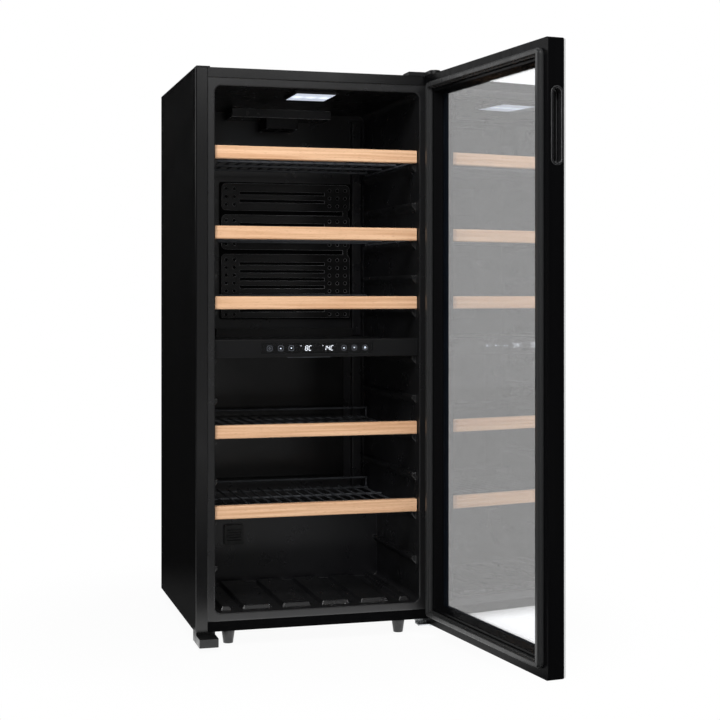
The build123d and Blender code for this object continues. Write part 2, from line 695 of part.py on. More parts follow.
with BuildPart() as upper_evaporator:
    with BuildSketch(upright(plate_front)):
        with Locations(blown_middle):
            RectangleRounded(blown_width, blown_height, PLATE_BOSS / 2)
    extrude(amount=-PLATE_THICKNESS)
    with BuildSketch(upright(plate_front + PLATE_THICKNESS)):
        with Locations(blown_middle):
            with GridLocations(blown_width - 2 * PLATE_BOSS, blown_height - 2 * PLATE_BOSS, 2, 2):
                Circle(PLATE_BOSS / 2)
    extrude(amount=-PLATE_STANDOFF)
    with BuildSketch(upright(plate_front)):
        group_row = first_row
        for rows in GROUP_ROWS:
            group_z = group_row + (rows - 1) * ROW_PITCH / 2
            with Locations((blown_middle[0], group_z)):
                group_height = (rows - 1) * ROW_PITCH + 2 * GROUP_MARGIN
                RectangleRounded(channel_right - channel_left, group_height, GROUP_ROUND)
            group_row += (rows + 1) * ROW_PITCH
            if group_row < last_row:
                with Locations((channel_right - spot_inset, group_row - ROW_PITCH)):
                    Rectangle(LINK, 2 * (ROW_PITCH - GROUP_MARGIN + GROUP_ROUND))
        with Locations(blown_middle):
            Rectangle(
                channel_right - channel_left, blown_height - 2 * BLOWN_MARGIN, mode=Mode.INTERSECT
            )
        group_row = first_row
        for rows in GROUP_ROWS:
            group_z = group_row + (rows - 1) * ROW_PITCH / 2
            with Locations(((island_left + island_right) / 2, group_z)):
                with GridLocations(0, ROW_PITCH, 1, rows - 1):
                    Rectangle(island_right - island_left, ISLAND, mode=Mode.SUBTRACT)
            with Locations([(x, group_z) for x in spot_places]):
                with GridLocations(0, ROW_PITCH, 1, rows):
                    RegularPolygon(SPOT / 2, SPOT_SIDES, mode=Mode.SUBTRACT)
            group_row += (rows + 1) * ROW_PITCH
    extrude(amount=CHANNEL_RISE)
save(upper_evaporator, "upper_evaporator")

# Drip tray under the evaporator
tray_y = CHAMBER_BACK - SEAM - TRAY_DEPTH / 2
tray_left = blown_left - TRAY_OVERHANG
tray_width = blown_right - tray_left
tray_x = tray_left + tray_width / 2
with BuildPart() as drip_tray:
    with BuildSketch(level(DIVIDER_FACE)):
        with Locations((tray_x, tray_y)):
            Rectangle(tray_width, TRAY_DEPTH)
    extrude(amount=TRAY_RISE)
    with BuildSketch(level(DIVIDER_FACE + TRAY_WALL)):
        with Locations((tray_x, tray_y)):
            Rectangle(tray_width - 2 * TRAY_WALL, TRAY_DEPTH - 2 * TRAY_WALL)
    extrude(amount=TRAY_RISE, mode=Mode.SUBTRACT)
save(drip_tray, "drip_tray")

# Fan under a hood at the back of the ceiling
hood_bottom = CHAMBER_CEILING - SEAM - HOOD_RISE
hood_y = CHAMBER_BACK - SEAM - HOOD_DEPTH / 2
with BuildPart() as fan_hood:
    with BuildSketch(level(hood_bottom)):
        with Locations((0, hood_y)):
            RectangleRounded(HOOD_WIDTH, HOOD_DEPTH, HOOD_WALL)
    extrude(amount=HOOD_RISE)
    with BuildSketch(level(hood_bottom + HOOD_WALL)):
        with Locations((0, hood_y)):
            Rectangle(HOOD_WIDTH - 2 * HOOD_WALL, HOOD_DEPTH - 2 * HOOD_WALL)
    extrude(amount=HOOD_RISE, mode=Mode.SUBTRACT)
    with BuildSketch(level(hood_bottom)):
        with Locations((0, hood_y)):
            Circle(FAN_BORE / 2)
    extrude(amount=HOOD_WALL, mode=Mode.SUBTRACT)
save(fan_hood, "fan_hood")

fan_bottom = hood_bottom - FAN_DEPTH
with BuildPart() as fan_frame:
    with BuildSketch(level(fan_bottom)):
        with Locations((0, hood_y)):
            RectangleRounded(FAN_SIZE, FAN_SIZE, 2 * HOOD_WALL)
            Circle(FAN_BORE / 2, mode=Mode.SUBTRACT)
    extrude(amount=FAN_DEPTH)
    with BuildSketch(level(fan_bottom)):
        with Locations((0, hood_y)):
            Circle(FAN_HUB / 2)
            Rectangle(FAN_BORE + HOOD_WALL, FAN_SPOKE)
            Rectangle(FAN_SPOKE, FAN_BORE + HOOD_WALL)
    extrude(amount=FAN_SPOKE_RISE)
save(fan_frame, "fan_frame")

rotor_bottom = fan_bottom + FAN_SPOKE_RISE + RUN
rotor_height = FAN_DEPTH - FAN_SPOKE_RISE - 2 * RUN
blade_reach = FAN_BORE / 2 - FAN_TIP_GAP
hub_middle = (0, hood_y, rotor_bottom + rotor_height / 2)
with BuildPart() as fan_rotor:
    with BuildSketch(level(rotor_bottom)):
        with Locations((0, hood_y)):
            Circle(FAN_HUB / 2)
    extrude(amount=rotor_height)
    fillet(fan_rotor.edges().group_by(Axis.Z)[-1], FAN_HUB_ROUND)
    for blade in range(FAN_BLADES):
        turn = 360 / FAN_BLADES * blade
        outwards = (cos(radians(turn)), sin(radians(turn)), 0)
        with BuildSketch(Plane(origin=hub_middle, x_dir=(0, 0, 1), z_dir=outwards)):
            Rectangle(BLADE_CHORD, BLADE_THICKNESS, rotation=BLADE_PITCH)
        extrude(amount=blade_reach)
save(fan_rotor, "fan_rotor")

# Plate evaporator of the lower zone, with its pressed channel, on standoffs
plate_width = CHAMBER_WIDTH - 2 * PLATE_SIDE_GAP
plate_bottom = STEP_TOP + PLATE_LOW_GAP
plate_height = DIVIDER_BOTTOM - PLATE_TOP_GAP - plate_bottom
channel_pitch = (plate_height - 2 * CHANNEL_MARGIN) / (CHANNEL_RUNS - 1)
with BuildPart() as lower_evaporator:
    with BuildSketch(upright(plate_front)):
        with Locations((0, plate_bottom + plate_height / 2)):
            RectangleRounded(plate_width, plate_height, PLATE_BOSS / 2)
    extrude(amount=-PLATE_THICKNESS)
    with BuildSketch(upright(plate_front + PLATE_THICKNESS)):
        with Locations((0, plate_bottom + plate_height / 2)):
            with GridLocations(plate_width - 2 * PLATE_BOSS, plate_height - 2 * PLATE_BOSS, 2, 2):
                Circle(PLATE_BOSS / 2)
    extrude(amount=-PLATE_STANDOFF)
    with BuildSketch(upright(plate_front + PLATE_THICKNESS)):
        with Locations((0, plate_bottom + plate_height / 2)):
            with GridLocations(0, channel_pitch, 1, CHANNEL_RUNS):
                Rectangle(plate_width - 2 * CHANNEL_MARGIN, CHANNEL_WIDTH)
        for run in range(CHANNEL_RUNS - 1):
            side = 1 if run % 2 == 0 else -1
            with Locations(
                (
                    side * (plate_width / 2 - CHANNEL_MARGIN - CHANNEL_WIDTH / 2),
                    plate_bottom + CHANNEL_MARGIN + (run + 0.5) * channel_pitch,
                )
            ):
                Rectangle(CHANNEL_WIDTH, channel_pitch + CHANNEL_WIDTH)
    extrude(amount=-CHANNEL_RISE)
save(lower_evaporator, "lower_evaporator")

# Wiring ducts up the back right corner, with a temperature sensor cap in each zone
duct_x = HALF_CHAMBER - DUCT_INSET - DUCT_WIDTH / 2
duct_front = CHAMBER_BACK - SEAM - DUCT_DEPTH
upper_duct_top = CHAMBER_CEILING - CORNER_RADIUS
duct_spans = ((STEP_TOP + SEAM, DIVIDER_BOTTOM - SEAM), (DIVIDER_FACE + SEAM, upper_duct_top))
with BuildPart() as wiring_ducts:
    for low, high in duct_spans:
        with BuildSketch(level(low)) as duct_section:
            with Locations((duct_x, duct_front)):
                Rectangle(DUCT_WIDTH, DUCT_DEPTH, align=(Align.CENTER, Align.MIN))
            fillet(duct_section.vertices().group_by(Axis.Y)[0], FOLD_RADIUS)
        extrude(amount=high - low)
save(wiring_ducts, "wiring_ducts")

with BuildPart() as temperature_sensors:
    with BuildSketch(upright(duct_front)):
        for low, high in duct_spans:
            with Locations((duct_x, (low + high) / 2)):
                SlotOverall(SENSOR_HEIGHT, SENSOR_WIDTH, rotation=90)
    extrude(amount=SENSOR_DEPTH)
save(temperature_sensors, "temperature_sensors")

# Charcoal filter on the step wall
filter_x = -HALF_CHAMBER + FILTER_INSET
filter_z = CHAMBER_FLOOR + FILTER_RISE
with BuildPart() as charcoal_filter:
    with BuildSketch(upright(STEP_FRONT - FILTER_DEPTH)):
        with Locations((filter_x, filter_z)):
            RectangleRounded(FILTER_SIZE, FILTER_SIZE, FOLD_RADIUS)
    extrude(amount=-FILTER_DEPTH)
    with BuildSketch(upright(STEP_FRONT - FILTER_DEPTH)):
        with Locations((filter_x, filter_z)):
            with GridLocations(0, 2 * FILTER_SLOT, 1, FILTER_SLOTS):
                SlotOverall(FILTER_SIZE - 4 * FILTER_SLOT, FILTER_SLOT)
    extrude(amount=-FILTER_DEPTH / 2, mode=Mode.SUBTRACT)
save(charcoal_filter, "charcoal_filter")

# Base of the compressor bay, with the rear feet under it
base_front = BAY_FRONT + SEAM
base_back = BACK - SHEET - SEAM
base_y = (base_front + base_back) / 2
with BuildPart() as bay_base:
    with BuildSketch(level(BOX_BOTTOM)):
        with Locations((0, base_y)):
            Rectangle(INNER_WIDTH, base_back - base_front)
    extrude(amount=BASE_THICKNESS)
    with BuildSketch(upright(base_back - BASE_THICKNESS)):
        with Locations((0, BOX_BOTTOM)):
            Rectangle(INNER_WIDTH, BASE_LIP, align=(Align.CENTER, Align.MIN))
    extrude(amount=-BASE_THICKNESS)
save(bay_base, "bay_base")

rear_foot_taper = degrees(atan2((REAR_FOOT_TOP - REAR_FOOT_TIP) / 2, FOOT_HEIGHT))
with BuildPart() as rear_feet:
    with BuildSketch(level(BOX_BOTTOM)):
        with Locations((0, BACK - REAR_FOOT_SETBACK)):
            with GridLocations(FOOT_SPAN, 0, 2, 1):
                Circle(REAR_FOOT_TOP / 2)
    extrude(amount=-FOOT_HEIGHT, taper=rear_foot_taper)
save(rear_feet, "rear_feet")

# Compressor on rubber grommets: two drawn cups with a welded seam, on a leg plate
compressor_x = HALF_WIDTH - COMPRESSOR_INSET
base_top = BOX_BOTTOM + BASE_THICKNESS
leg_bottom = base_top + GROMMET_HEIGHT
shell_bottom = leg_bottom + LEG_THICKNESS
hole_x = LEG_LENGTH - 2 * HOLE_INSET
hole_y = LEG_DEPTH - 2 * HOLE_INSET
with BuildPart() as compressor:
    with BuildSketch(level(shell_bottom)):
        with Locations((compressor_x, base_y)):
            SlotOverall(COMPRESSOR_LENGTH, COMPRESSOR_DEPTH)
    extrude(amount=COMPRESSOR_HEIGHT)
    fillet(compressor.edges().group_by(Axis.Z)[-1], COMPRESSOR_DOME)
    with BuildSketch(level(shell_bottom + COMPRESSOR_HEIGHT / 2)):
        with Locations((compressor_x, base_y)):
            SlotOverall(COMPRESSOR_LENGTH + 2 * COMPRESSOR_SEAM, COMPRESSOR_DEPTH + 2 * COMPRESSOR_SEAM)
    extrude(amount=COMPRESSOR_SEAM)
    with BuildSketch(level(leg_bottom)):
        with Locations((compressor_x, base_y)):
            RectangleRounded(LEG_LENGTH, LEG_DEPTH, HOLE_INSET)
            with GridLocations(hole_x, hole_y, 2, 2):
                Circle(LEG_HOLE / 2, mode=Mode.SUBTRACT)
    extrude(amount=LEG_THICKNESS)
save(compressor, "compressor")

with BuildPart() as compressor_grommets:
    with BuildSketch(level(base_top)):
        with Locations((compressor_x, base_y)):
            with GridLocations(hole_x, hole_y, 2, 2):
                Circle(GROMMET / 2)
    extrude(amount=GROMMET_HEIGHT)
    with BuildSketch(level(leg_bottom)):
        with Locations((compressor_x, base_y)):
            with GridLocations(hole_x, hole_y, 2, 2):
                Circle(GROMMET_NECK / 2)
    extrude(amount=2 * LEG_THICKNESS)
save(compressor_grommets, "compressor_grommets")

relay_x = compressor_x - COMPRESSOR_LENGTH / 2 - COMPRESSOR_SEAM - SEAM - RELAY_WIDTH / 2
with BuildPart() as start_relay_box:
    with BuildSketch(level(shell_bottom)):
        with Locations((relay_x, base_y)):
            RectangleRounded(RELAY_WIDTH, RELAY_DEPTH, FOLD_RADIUS)
    extrude(amount=RELAY_HEIGHT)
    fillet(start_relay_box.edges().group_by(Axis.Z)[-1], FOLD_RADIUS / 2)
save(start_relay_box, "start_relay_box")

pan_bottom = shell_bottom + COMPRESSOR_HEIGHT
with BuildPart() as evaporation_pan:
    with BuildSketch(level(pan_bottom)):
        with Locations((compressor_x, base_y)):
            RectangleRounded(PAN_LENGTH, PAN_DEPTH, PAN_ROUND)
    extrude(amount=PAN_HEIGHT)
    with BuildSketch(level(pan_bottom + PAN_WALL)):
        with Locations((compressor_x, base_y)):
            RectangleRounded(PAN_LENGTH - 2 * PAN_WALL, PAN_DEPTH - 2 * PAN_WALL, PAN_ROUND - PAN_WALL)
    extrude(amount=PAN_HEIGHT, mode=Mode.SUBTRACT)
save(evaporation_pan, "evaporation_pan")

drier_y = BAY_FRONT + DRIER_STANDOFF + DRIER_DIAMETER / 2
drier_x = -HALF_WIDTH + DRIER_INSET
drier_z = BAY_TOP - DRIER_DROP
drier_left = drier_x - DRIER_LENGTH / 2
drier_right = drier_x + DRIER_LENGTH / 2
with BuildPart() as filter_drier:
    with BuildSketch(upright(drier_y)):
        with BuildLine():
            Polyline(
                (drier_left, drier_z),
                (drier_left, drier_z + DRIER_NECK / 2),
                (drier_left + DRIER_TAPER, drier_z + DRIER_DIAMETER / 2),
                (drier_right - DRIER_TAPER, drier_z + DRIER_DIAMETER / 2),
                (drier_right, drier_z + DRIER_NECK / 2),
                (drier_right, drier_z),
                close=True,
            )
        make_face()
    revolve(axis=Axis((drier_x, drier_y, drier_z), (1, 0, 0)))
    with BuildSketch(upright(BAY_FRONT)):
        with Locations((drier_x, drier_z)):
            Rectangle(CLIP_WIDTH, DRIER_DIAMETER / 2)
    extrude(amount=-(drier_y - BAY_FRONT))
save(filter_drier, "filter_drier")

# Slotted cover over the back of the bay, with the gland that the mains lead passes through
gland_x = -HALF_WIDTH + GLAND_INSET
bay_middle = (BOX_BOTTOM + BAY_TOP) / 2
with BuildPart() as bay_grille:
    with BuildSketch(upright(BACK - SHEET)):
        with Locations((0, bay_middle)):
            Rectangle(INNER_WIDTH, BAY_TOP - BOX_BOTTOM)
            with GridLocations(GRILLE_COLUMN_PITCH, GRILLE_ROW_PITCH, GRILLE_COLUMNS, GRILLE_ROWS):
                Rectangle(GRILLE_SLOT, GRILLE_SLOT_HEIGHT, mode=Mode.SUBTRACT)
        with Locations((gland_x, bay_middle)):
            Circle(GLAND_NECK / 2 + SEAM, mode=Mode.SUBTRACT)
    extrude(amount=-SHEET)
save(bay_grille, "bay_grille")

with BuildPart() as cord_gland:
    with BuildSketch(upright(BACK - SHEET - GLAND_FLANGE)):
        with Locations((gland_x, bay_middle)):
            Circle(GLAND_NECK / 2)
    extrude(amount=-(SHEET + GLAND_FLANGE))
    with BuildSketch(upright(BACK)):
        with Locations((gland_x, bay_middle)):
            Circle(GLAND_DIAMETER / 2)
    extrude(amount=-GLAND_FLANGE)
    with BuildSketch(upright(BACK + GLAND_FLANGE)):
        with Locations((gland_x, bay_middle)):
            Circle(GLAND_NECK / 2)
    extrude(amount=-(GLAND_REACH - GLAND_FLANGE), taper=GLAND_TAPER)
    with BuildSketch(upright(BACK - SHEET - GLAND_FLANGE)):
        with Locations((gland_x, bay_middle)):
            Circle(GLAND_BORE / 2)
    extrude(amount=-(SHEET + GLAND_FLANGE + GLAND_REACH), mode=Mode.SUBTRACT)
save(cord_gland, "cord_gland")

# Door frame of reference: it turns about the hinge pins and stands open at rest
door_middle = (PIN_INSET - DOOR_WIDTH / 2, (DOOR_TOP + DOOR_BOTTOM) / 2)
swing = radians(DOOR_OPEN)
hinge_axis = Vector(PIN_X, PIN_Y, 0)
to_free_edge = Vector(-cos(swing), -sin(swing), 0)
outward = Vector(sin(swing), -cos(swing), 0)


def door_face(distance):
    """Plane across the open door, that far outside its inner face: x to the hinge edge, y up."""
    start = hinge_axis + outward * (distance - PIN_DEPTH)
    return Plane(origin=start, x_dir=-to_free_edge, z_dir=outward)


free_edge = Plane(
    origin=hinge_axis + to_free_edge * (DOOR_WIDTH - PIN_INSET) - outward * PIN_DEPTH,
    x_dir=outward,
    z_dir=to_free_edge,
)
frame_depth = DOOR_THICKNESS - GLASS
pane_depth = frame_depth - AIR_GAP - GLASS
view_width = DOOR_WIDTH - 2 * DOOR_FRAME
view_height = DOOR_HEIGHT - 2 * DOOR_FRAME
bead_spread = pane_depth * tan(radians(BEAD_SLOPE))
pane_width = view_width + 2 * PANE_LAP
pane_height = view_height + 2 * PANE_LAP
handle_middle = (HANDLE_CENTRE, DOOR_TOP - HANDLE_DROP - HANDLE_LENGTH / 2)
rim_width = HANDLE_WIDTH + 2 * HANDLE_RIM
rim_length = HANDLE_LENGTH + 2 * HANDLE_RIM

with BuildPart() as door_frame:
    with BuildSketch(door_face(0)):
        with Locations(door_middle):
            RectangleRounded(DOOR_WIDTH, DOOR_HEIGHT, DOOR_CORNER)
    extrude(amount=frame_depth)
    with BuildSketch(door_face(0)):
        with Locations(door_middle):
            Rectangle(view_width + 2 * bead_spread, view_height + 2 * bead_spread)
    extrude(amount=pane_depth, taper=BEAD_SLOPE, mode=Mode.SUBTRACT)
    with BuildSketch(door_face(pane_depth)):
        with Locations(door_middle):
            Rectangle(pane_width + 2 * SEAM, pane_height + 2 * SEAM)
    extrude(amount=frame_depth - pane_depth, mode=Mode.SUBTRACT)
    for bush_bottom in (DOOR_BOTTOM, DOOR_TOP - BUSH_LENGTH):
        with BuildSketch(level(bush_bottom)):
            with Locations((PIN_X, PIN_Y)):
                Circle(BUSH_DIAMETER / 2 + SEAM)
        extrude(amount=BUSH_LENGTH, mode=Mode.SUBTRACT)
    with BuildSketch(free_edge):
        with Locations(handle_middle):
            RectangleRounded(HANDLE_WIDTH + 2 * SEAM, HANDLE_LENGTH + 2 * SEAM, HANDLE_WIDTH / 2)
    extrude(amount=-HANDLE_DEPTH - SEAM, mode=Mode.SUBTRACT)
    with BuildSketch(free_edge):
        with Locations(handle_middle):
            RectangleRounded(rim_width + 2 * SEAM, rim_length + 2 * SEAM, rim_width / 2)
    extrude(amount=-HANDLE_RIM_DEPTH, mode=Mode.SUBTRACT)
save(door_frame, "door_frame")

with BuildPart() as handle_cup:
    with BuildSketch(free_edge):
        with Locations(handle_middle):
            RectangleRounded(rim_width, rim_length, rim_width / 2 - SEAM)
    extrude(amount=-HANDLE_RIM_DEPTH)
    with BuildSketch(free_edge):
        with Locations(handle_middle):
            RectangleRounded(HANDLE_WIDTH, HANDLE_LENGTH, HANDLE_WIDTH / 2 - SEAM)
    extrude(amount=-HANDLE_DEPTH)
    with BuildSketch(free_edge):
        with Locations(handle_middle):
            RectangleRounded(
                HANDLE_WIDTH - 2 * HANDLE_WALL,
                HANDLE_LENGTH - 2 * HANDLE_WALL,
                HANDLE_WIDTH / 2 - HANDLE_WALL - SEAM,
            )
    extrude(amount=-(HANDLE_DEPTH - HANDLE_WALL), mode=Mode.SUBTRACT)
save(handle_cup, "handle_cup")

# Double glazing: a full-size outer pane, a spacer bar and the inner pane
with BuildPart() as outer_glass:
    with BuildSketch(door_face(frame_depth)):
        with Locations(door_middle):
            RectangleRounded(DOOR_WIDTH - 2 * GLASS_REVEAL, DOOR_HEIGHT - 2 * GLASS_REVEAL, DOOR_CORNER)
    extrude(amount=GLASS)
save(outer_glass, "outer_glass")

with BuildPart() as inner_glass:
    with BuildSketch(door_face(pane_depth)):
        with Locations(door_middle):
            Rectangle(pane_width, pane_height)
    extrude(amount=GLASS)
save(inner_glass, "inner_glass")

with BuildPart() as glass_spacer:
    with BuildSketch(door_face(pane_depth + GLASS)):
        with Locations(door_middle):
            Rectangle(pane_width, pane_height)
            Rectangle(pane_width - 2 * SPACER_WIDTH, pane_height - 2 * SPACER_WIDTH, mode=Mode.SUBTRACT)
    extrude(amount=AIR_GAP)
save(glass_spacer, "glass_spacer")

# Magnetic gasket: a base strip and a narrower soft lip that meets the cabinet flange
lip_inset = GASKET_INSET + (GASKET_WIDTH - GASKET_LIP) / 2
with BuildPart() as door_gasket:
    for depth, inset, width, rise in (
        (0, GASKET_INSET, GASKET_WIDTH, GASKET_BASE),
        (-GASKET_BASE, lip_inset, GASKET_LIP, DOOR_GAP - RUN - GASKET_BASE),
    ):
        ring_width = DOOR_WIDTH - 2 * inset
        ring_height = DOOR_HEIGHT - 2 * inset
        with BuildSketch(door_face(depth)):
            with Locations(door_middle):
                RectangleRounded(ring_width, ring_height, width)
                Rectangle(ring_width - 2 * width, ring_height - 2 * width, mode=Mode.SUBTRACT)
        extrude(amount=-rise)
save(door_gasket, "door_gasket")

with BuildPart() as door_bushes:
    for bush_bottom in (DOOR_BOTTOM, DOOR_TOP - BUSH_LENGTH):
        with BuildSketch(level(bush_bottom)):
            with Locations((PIN_X, PIN_Y)):
                Circle(BUSH_DIAMETER / 2)
                Circle(PIN_DIAMETER / 2 + PIN_FIT, mode=Mode.SUBTRACT)
        extrude(amount=BUSH_LENGTH)
save(door_bushes, "door_bushes")

# Top hinge: a bracket with a riveted pin, under a moulded cover
tail_middle = FRONT + (BRACKET_SETBACK + BRACKET_TAIL) / 2
tail_x = PIN_X + BRACKET_NOSE - BRACKET_WIDTH / 2


def hinge_outline(grow):
    """Outline of the top bracket seen from above, made larger all round by grow."""
    with Locations((tail_x, tail_middle)):
        Rectangle(BRACKET_WIDTH + 2 * grow, BRACKET_TAIL - BRACKET_SETBACK + 2 * grow)
    with Locations((PIN_X, (PIN_Y + tail_middle) / 2)):
        Rectangle(2 * (BRACKET_NOSE + grow), tail_middle - PIN_Y)
    with Locations((PIN_X, PIN_Y)):
        Circle(BRACKET_NOSE + grow)


with BuildPart() as top_hinge_bracket:
    with BuildSketch(level(BOX_TOP)):
        hinge_outline(0)
    extrude(amount=BRACKET)
    with BuildSketch(level(BOX_TOP)):
        with Locations((PIN_X, PIN_Y)):
            Circle(PIN_DIAMETER / 2)
    extrude(amount=-PIN_LENGTH)
save(top_hinge_bracket, "top_hinge_bracket")

with BuildPart() as top_hinge_cover:
    with BuildSketch(level(BOX_TOP)):
        hinge_outline(SEAM + COVER_WALL)
    extrude(amount=COVER_HEIGHT)
    fillet(top_hinge_cover.edges().group_by(Axis.Z)[-1], COVER_WALL)
    with BuildSketch(level(BOX_TOP)):
        hinge_outline(SEAM)
    extrude(amount=COVER_HEIGHT - COVER_WALL, mode=Mode.SUBTRACT)
save(top_hinge_cover, "top_hinge_cover")

# Bottom hinge: a joggled bracket under the cabinet, with its pin standing up into the door
arm_top = DOOR_BOTTOM - HINGE_GAP
arm_bottom = arm_top - BRACKET
with BuildPart() as bottom_hinge_bracket:
    with BuildSketch(side_on(PIN_X + BRACKET_NOSE)):
        with BuildLine():
            Polyline(
                (PIN_Y, arm_bottom),
                (FRONT + JOGGLE, arm_bottom),
                (FRONT + JOGGLE, BOX_BOTTOM - BRACKET),
                (FRONT + LOW_BRACKET_TAIL, BOX_BOTTOM - BRACKET),
                (FRONT + LOW_BRACKET_TAIL, BOX_BOTTOM),
                (FRONT + JOGGLE - BRACKET, BOX_BOTTOM),
                (FRONT + JOGGLE - BRACKET, arm_top),
                (PIN_Y, arm_top),
                close=True,
            )
        make_face()
    extrude(amount=-LOW_BRACKET_WIDTH)
    with BuildSketch(level(arm_bottom)):
        with Locations((PIN_X, PIN_Y)):
            Circle(BRACKET_NOSE)
    extrude(amount=BRACKET)
    with BuildSketch(level(arm_top)):
        with Locations((PIN_X, PIN_Y)):
            Circle(PIN_DIAMETER / 2)
    extrude(amount=PIN_LENGTH)
save(bottom_hinge_bracket, "bottom_hinge_bracket")

# Cap over the unused hinge holes on the left, and the block that the closed door rests on
with BuildPart() as spare_hinge_cap:
    with BuildSketch(level(BOX_TOP)):
        with Locations((-HALF_WIDTH + EDGE_INSET + CAP_WIDTH / 2, FRONT + EDGE_INSET + CAP_DEPTH / 2)):
            RectangleRounded(CAP_WIDTH, CAP_DEPTH, EDGE_ROUND)
    extrude(amount=CAP_HEIGHT)
    fillet(spare_hinge_cap.edges().group_by(Axis.Z)[-1], CAP_HEIGHT / 3)
save(spare_hinge_cap, "spare_hinge_cap")

rest_top = DOOR_BOTTOM - REST_GAP
with BuildPart() as door_rest_block:
    with BuildSketch(side_on(-HALF_WIDTH + EDGE_INSET)):
        with BuildLine():
            Polyline(
                (FRONT - REST_REACH, rest_top - REST_HEIGHT),
                (FRONT + REST_TAIL, rest_top - REST_HEIGHT),
                (FRONT + REST_TAIL, BOX_BOTTOM),
                (FRONT + JOGGLE, BOX_BOTTOM),
                (FRONT + JOGGLE, rest_top),
                (FRONT - REST_REACH, rest_top),
                close=True,
            )
        make_face()
    extrude(amount=REST_WIDTH)
    fillet(door_rest_block.edges().filter_by(Axis.Z).group_by(Axis.Y)[0], EDGE_ROUND)
save(door_rest_block, "door_rest_block")

# Front levelling feet: tapered foot, collar and stud
foot_taper = degrees(atan2((FOOT_TOP - FOOT_TIP) / 2, FOOT_HEIGHT - FOOT_COLLAR))
cone_height = FOOT_HEIGHT - FOOT_COLLAR - RUN
for side, sign in (("left", -1), ("right", 1)):
    foot_place = (sign * FOOT_SPAN / 2, FRONT + FOOT_SETBACK)
    with BuildPart() as front_foot:
        with BuildSketch(level(0)):
            with Locations(foot_place):
                Circle(FOOT_TIP / 2)
        extrude(amount=cone_height, taper=-foot_taper)
        with BuildSketch(level(cone_height)):
            with Locations(foot_place):
                Circle(FOOT_TOP / 2)
        extrude(amount=FOOT_COLLAR)
        with BuildSketch(level(cone_height + FOOT_COLLAR)):
            with Locations(foot_place):
                Circle(STUD / 2)
        extrude(amount=STUD_LENGTH)
    save(front_foot, f"foot_front_{side}")
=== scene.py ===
# %% [markdown]
# # A two-zone wine cooler
# The cabinet, door, shelves and fittings arrive as finished solids, in metres, with the floor at
# zero height. This lesson gives every solid the surface of its real material and adds the small
# things a shop would fit or print last. Each step says what the real thing is before it is made.

# %% Load the frame
import json
from math import cos, pi, radians, sin

import bmesh
import bpy
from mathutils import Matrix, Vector


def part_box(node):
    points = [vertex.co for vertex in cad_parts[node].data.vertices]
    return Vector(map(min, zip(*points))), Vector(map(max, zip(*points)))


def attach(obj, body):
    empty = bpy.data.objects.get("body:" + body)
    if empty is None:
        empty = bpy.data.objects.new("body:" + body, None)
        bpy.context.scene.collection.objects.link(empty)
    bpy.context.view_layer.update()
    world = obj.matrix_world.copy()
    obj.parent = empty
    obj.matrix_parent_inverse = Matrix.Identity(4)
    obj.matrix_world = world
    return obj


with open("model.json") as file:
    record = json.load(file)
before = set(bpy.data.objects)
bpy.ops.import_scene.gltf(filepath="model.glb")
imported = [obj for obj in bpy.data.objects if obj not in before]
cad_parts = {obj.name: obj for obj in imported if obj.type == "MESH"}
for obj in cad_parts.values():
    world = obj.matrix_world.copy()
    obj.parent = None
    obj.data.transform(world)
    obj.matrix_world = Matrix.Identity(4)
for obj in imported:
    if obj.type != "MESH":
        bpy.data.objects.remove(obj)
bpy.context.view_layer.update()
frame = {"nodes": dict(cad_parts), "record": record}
scene = bpy.context.scene
scene.view_settings.view_transform = "Standard"

# %% [markdown]
# ## The camera
# A catalogue picture is taken from far off with a long lens, level with the product, so uprights
# stay parallel. The lens is shifted instead of tilted, which is how a view camera keeps them so.

# %% Place the camera
lens = bpy.data.cameras.new("studio_camera")
lens.lens = 74.0
lens.sensor_width = 36.0
lens.shift_y = -0.0888
camera = bpy.data.objects.new("studio_camera", lens)
camera.location = (-0.7909, -3.3615, 0.7474)
camera.rotation_euler = (radians(90), 0, radians(-15.85))
scene.collection.objects.link(camera)
scene.camera = camera
print("camera", tuple(camera.location), "lens", lens.lens)

# %% [markdown]
# ## Helpers for colour and nodes
# Colours are written the way a paint chip is read, as sRGB hex, and one function turns them into
# the linear numbers that light is added up in. One function adds a node, and another sets the
# inputs of a node or links them. An input goes by its name, or by its number where two share a
# name. Where a node is given for an input, it stands for its first output that is in use.

# %% Colour and node helpers
MM = 0.001


def colour(chip):
    """Linear RGBA from an sRGB hex colour."""
    parts = [int(chip[i:i + 2], 16) / 255 for i in (1, 3, 5)]
    return [p / 12.92 if p <= 0.04045 else ((p + 0.055) / 1.055) ** 2.4 for p in parts] + [1.0]


def join(node, inputs):
    """Sets inputs of a node to values, or links them to a node or to one of its outputs."""
    for key, value in inputs.items():
        if isinstance(key, str):
            key = next(i for i, s in enumerate(node.inputs) if s.name == key and s.enabled)
        if isinstance(value, bpy.types.Node):
            value = next(s for s in value.outputs if s.enabled)
        if isinstance(value, bpy.types.NodeSocket):
            node.id_data.links.new(value, node.inputs[key])
        else:
            node.inputs[key].default_value = value


def add(tree, kind, inputs=None, **settings):
    """Adds a node to tree, sets its properties, and sets or links its inputs."""
    made = tree.nodes.new("ShaderNode" + kind)
    for name, value in settings.items():
        setattr(made, name, value)
    join(made, inputs or {})
    return made


def start_finish(name, **sockets):
    """Starts a material with the sockets that are the same all over it, and gives its parts."""
    made = bpy.data.materials.new(name)
    made.use_nodes = True
    surface = made.node_tree.nodes["Principled BSDF"]
    join(surface, {socket.replace("_", " "): value for socket, value in sockets.items()})
    return made, made.node_tree, surface


print("black paint chip in linear light:", [round(c, 4) for c in colour("#101112")])

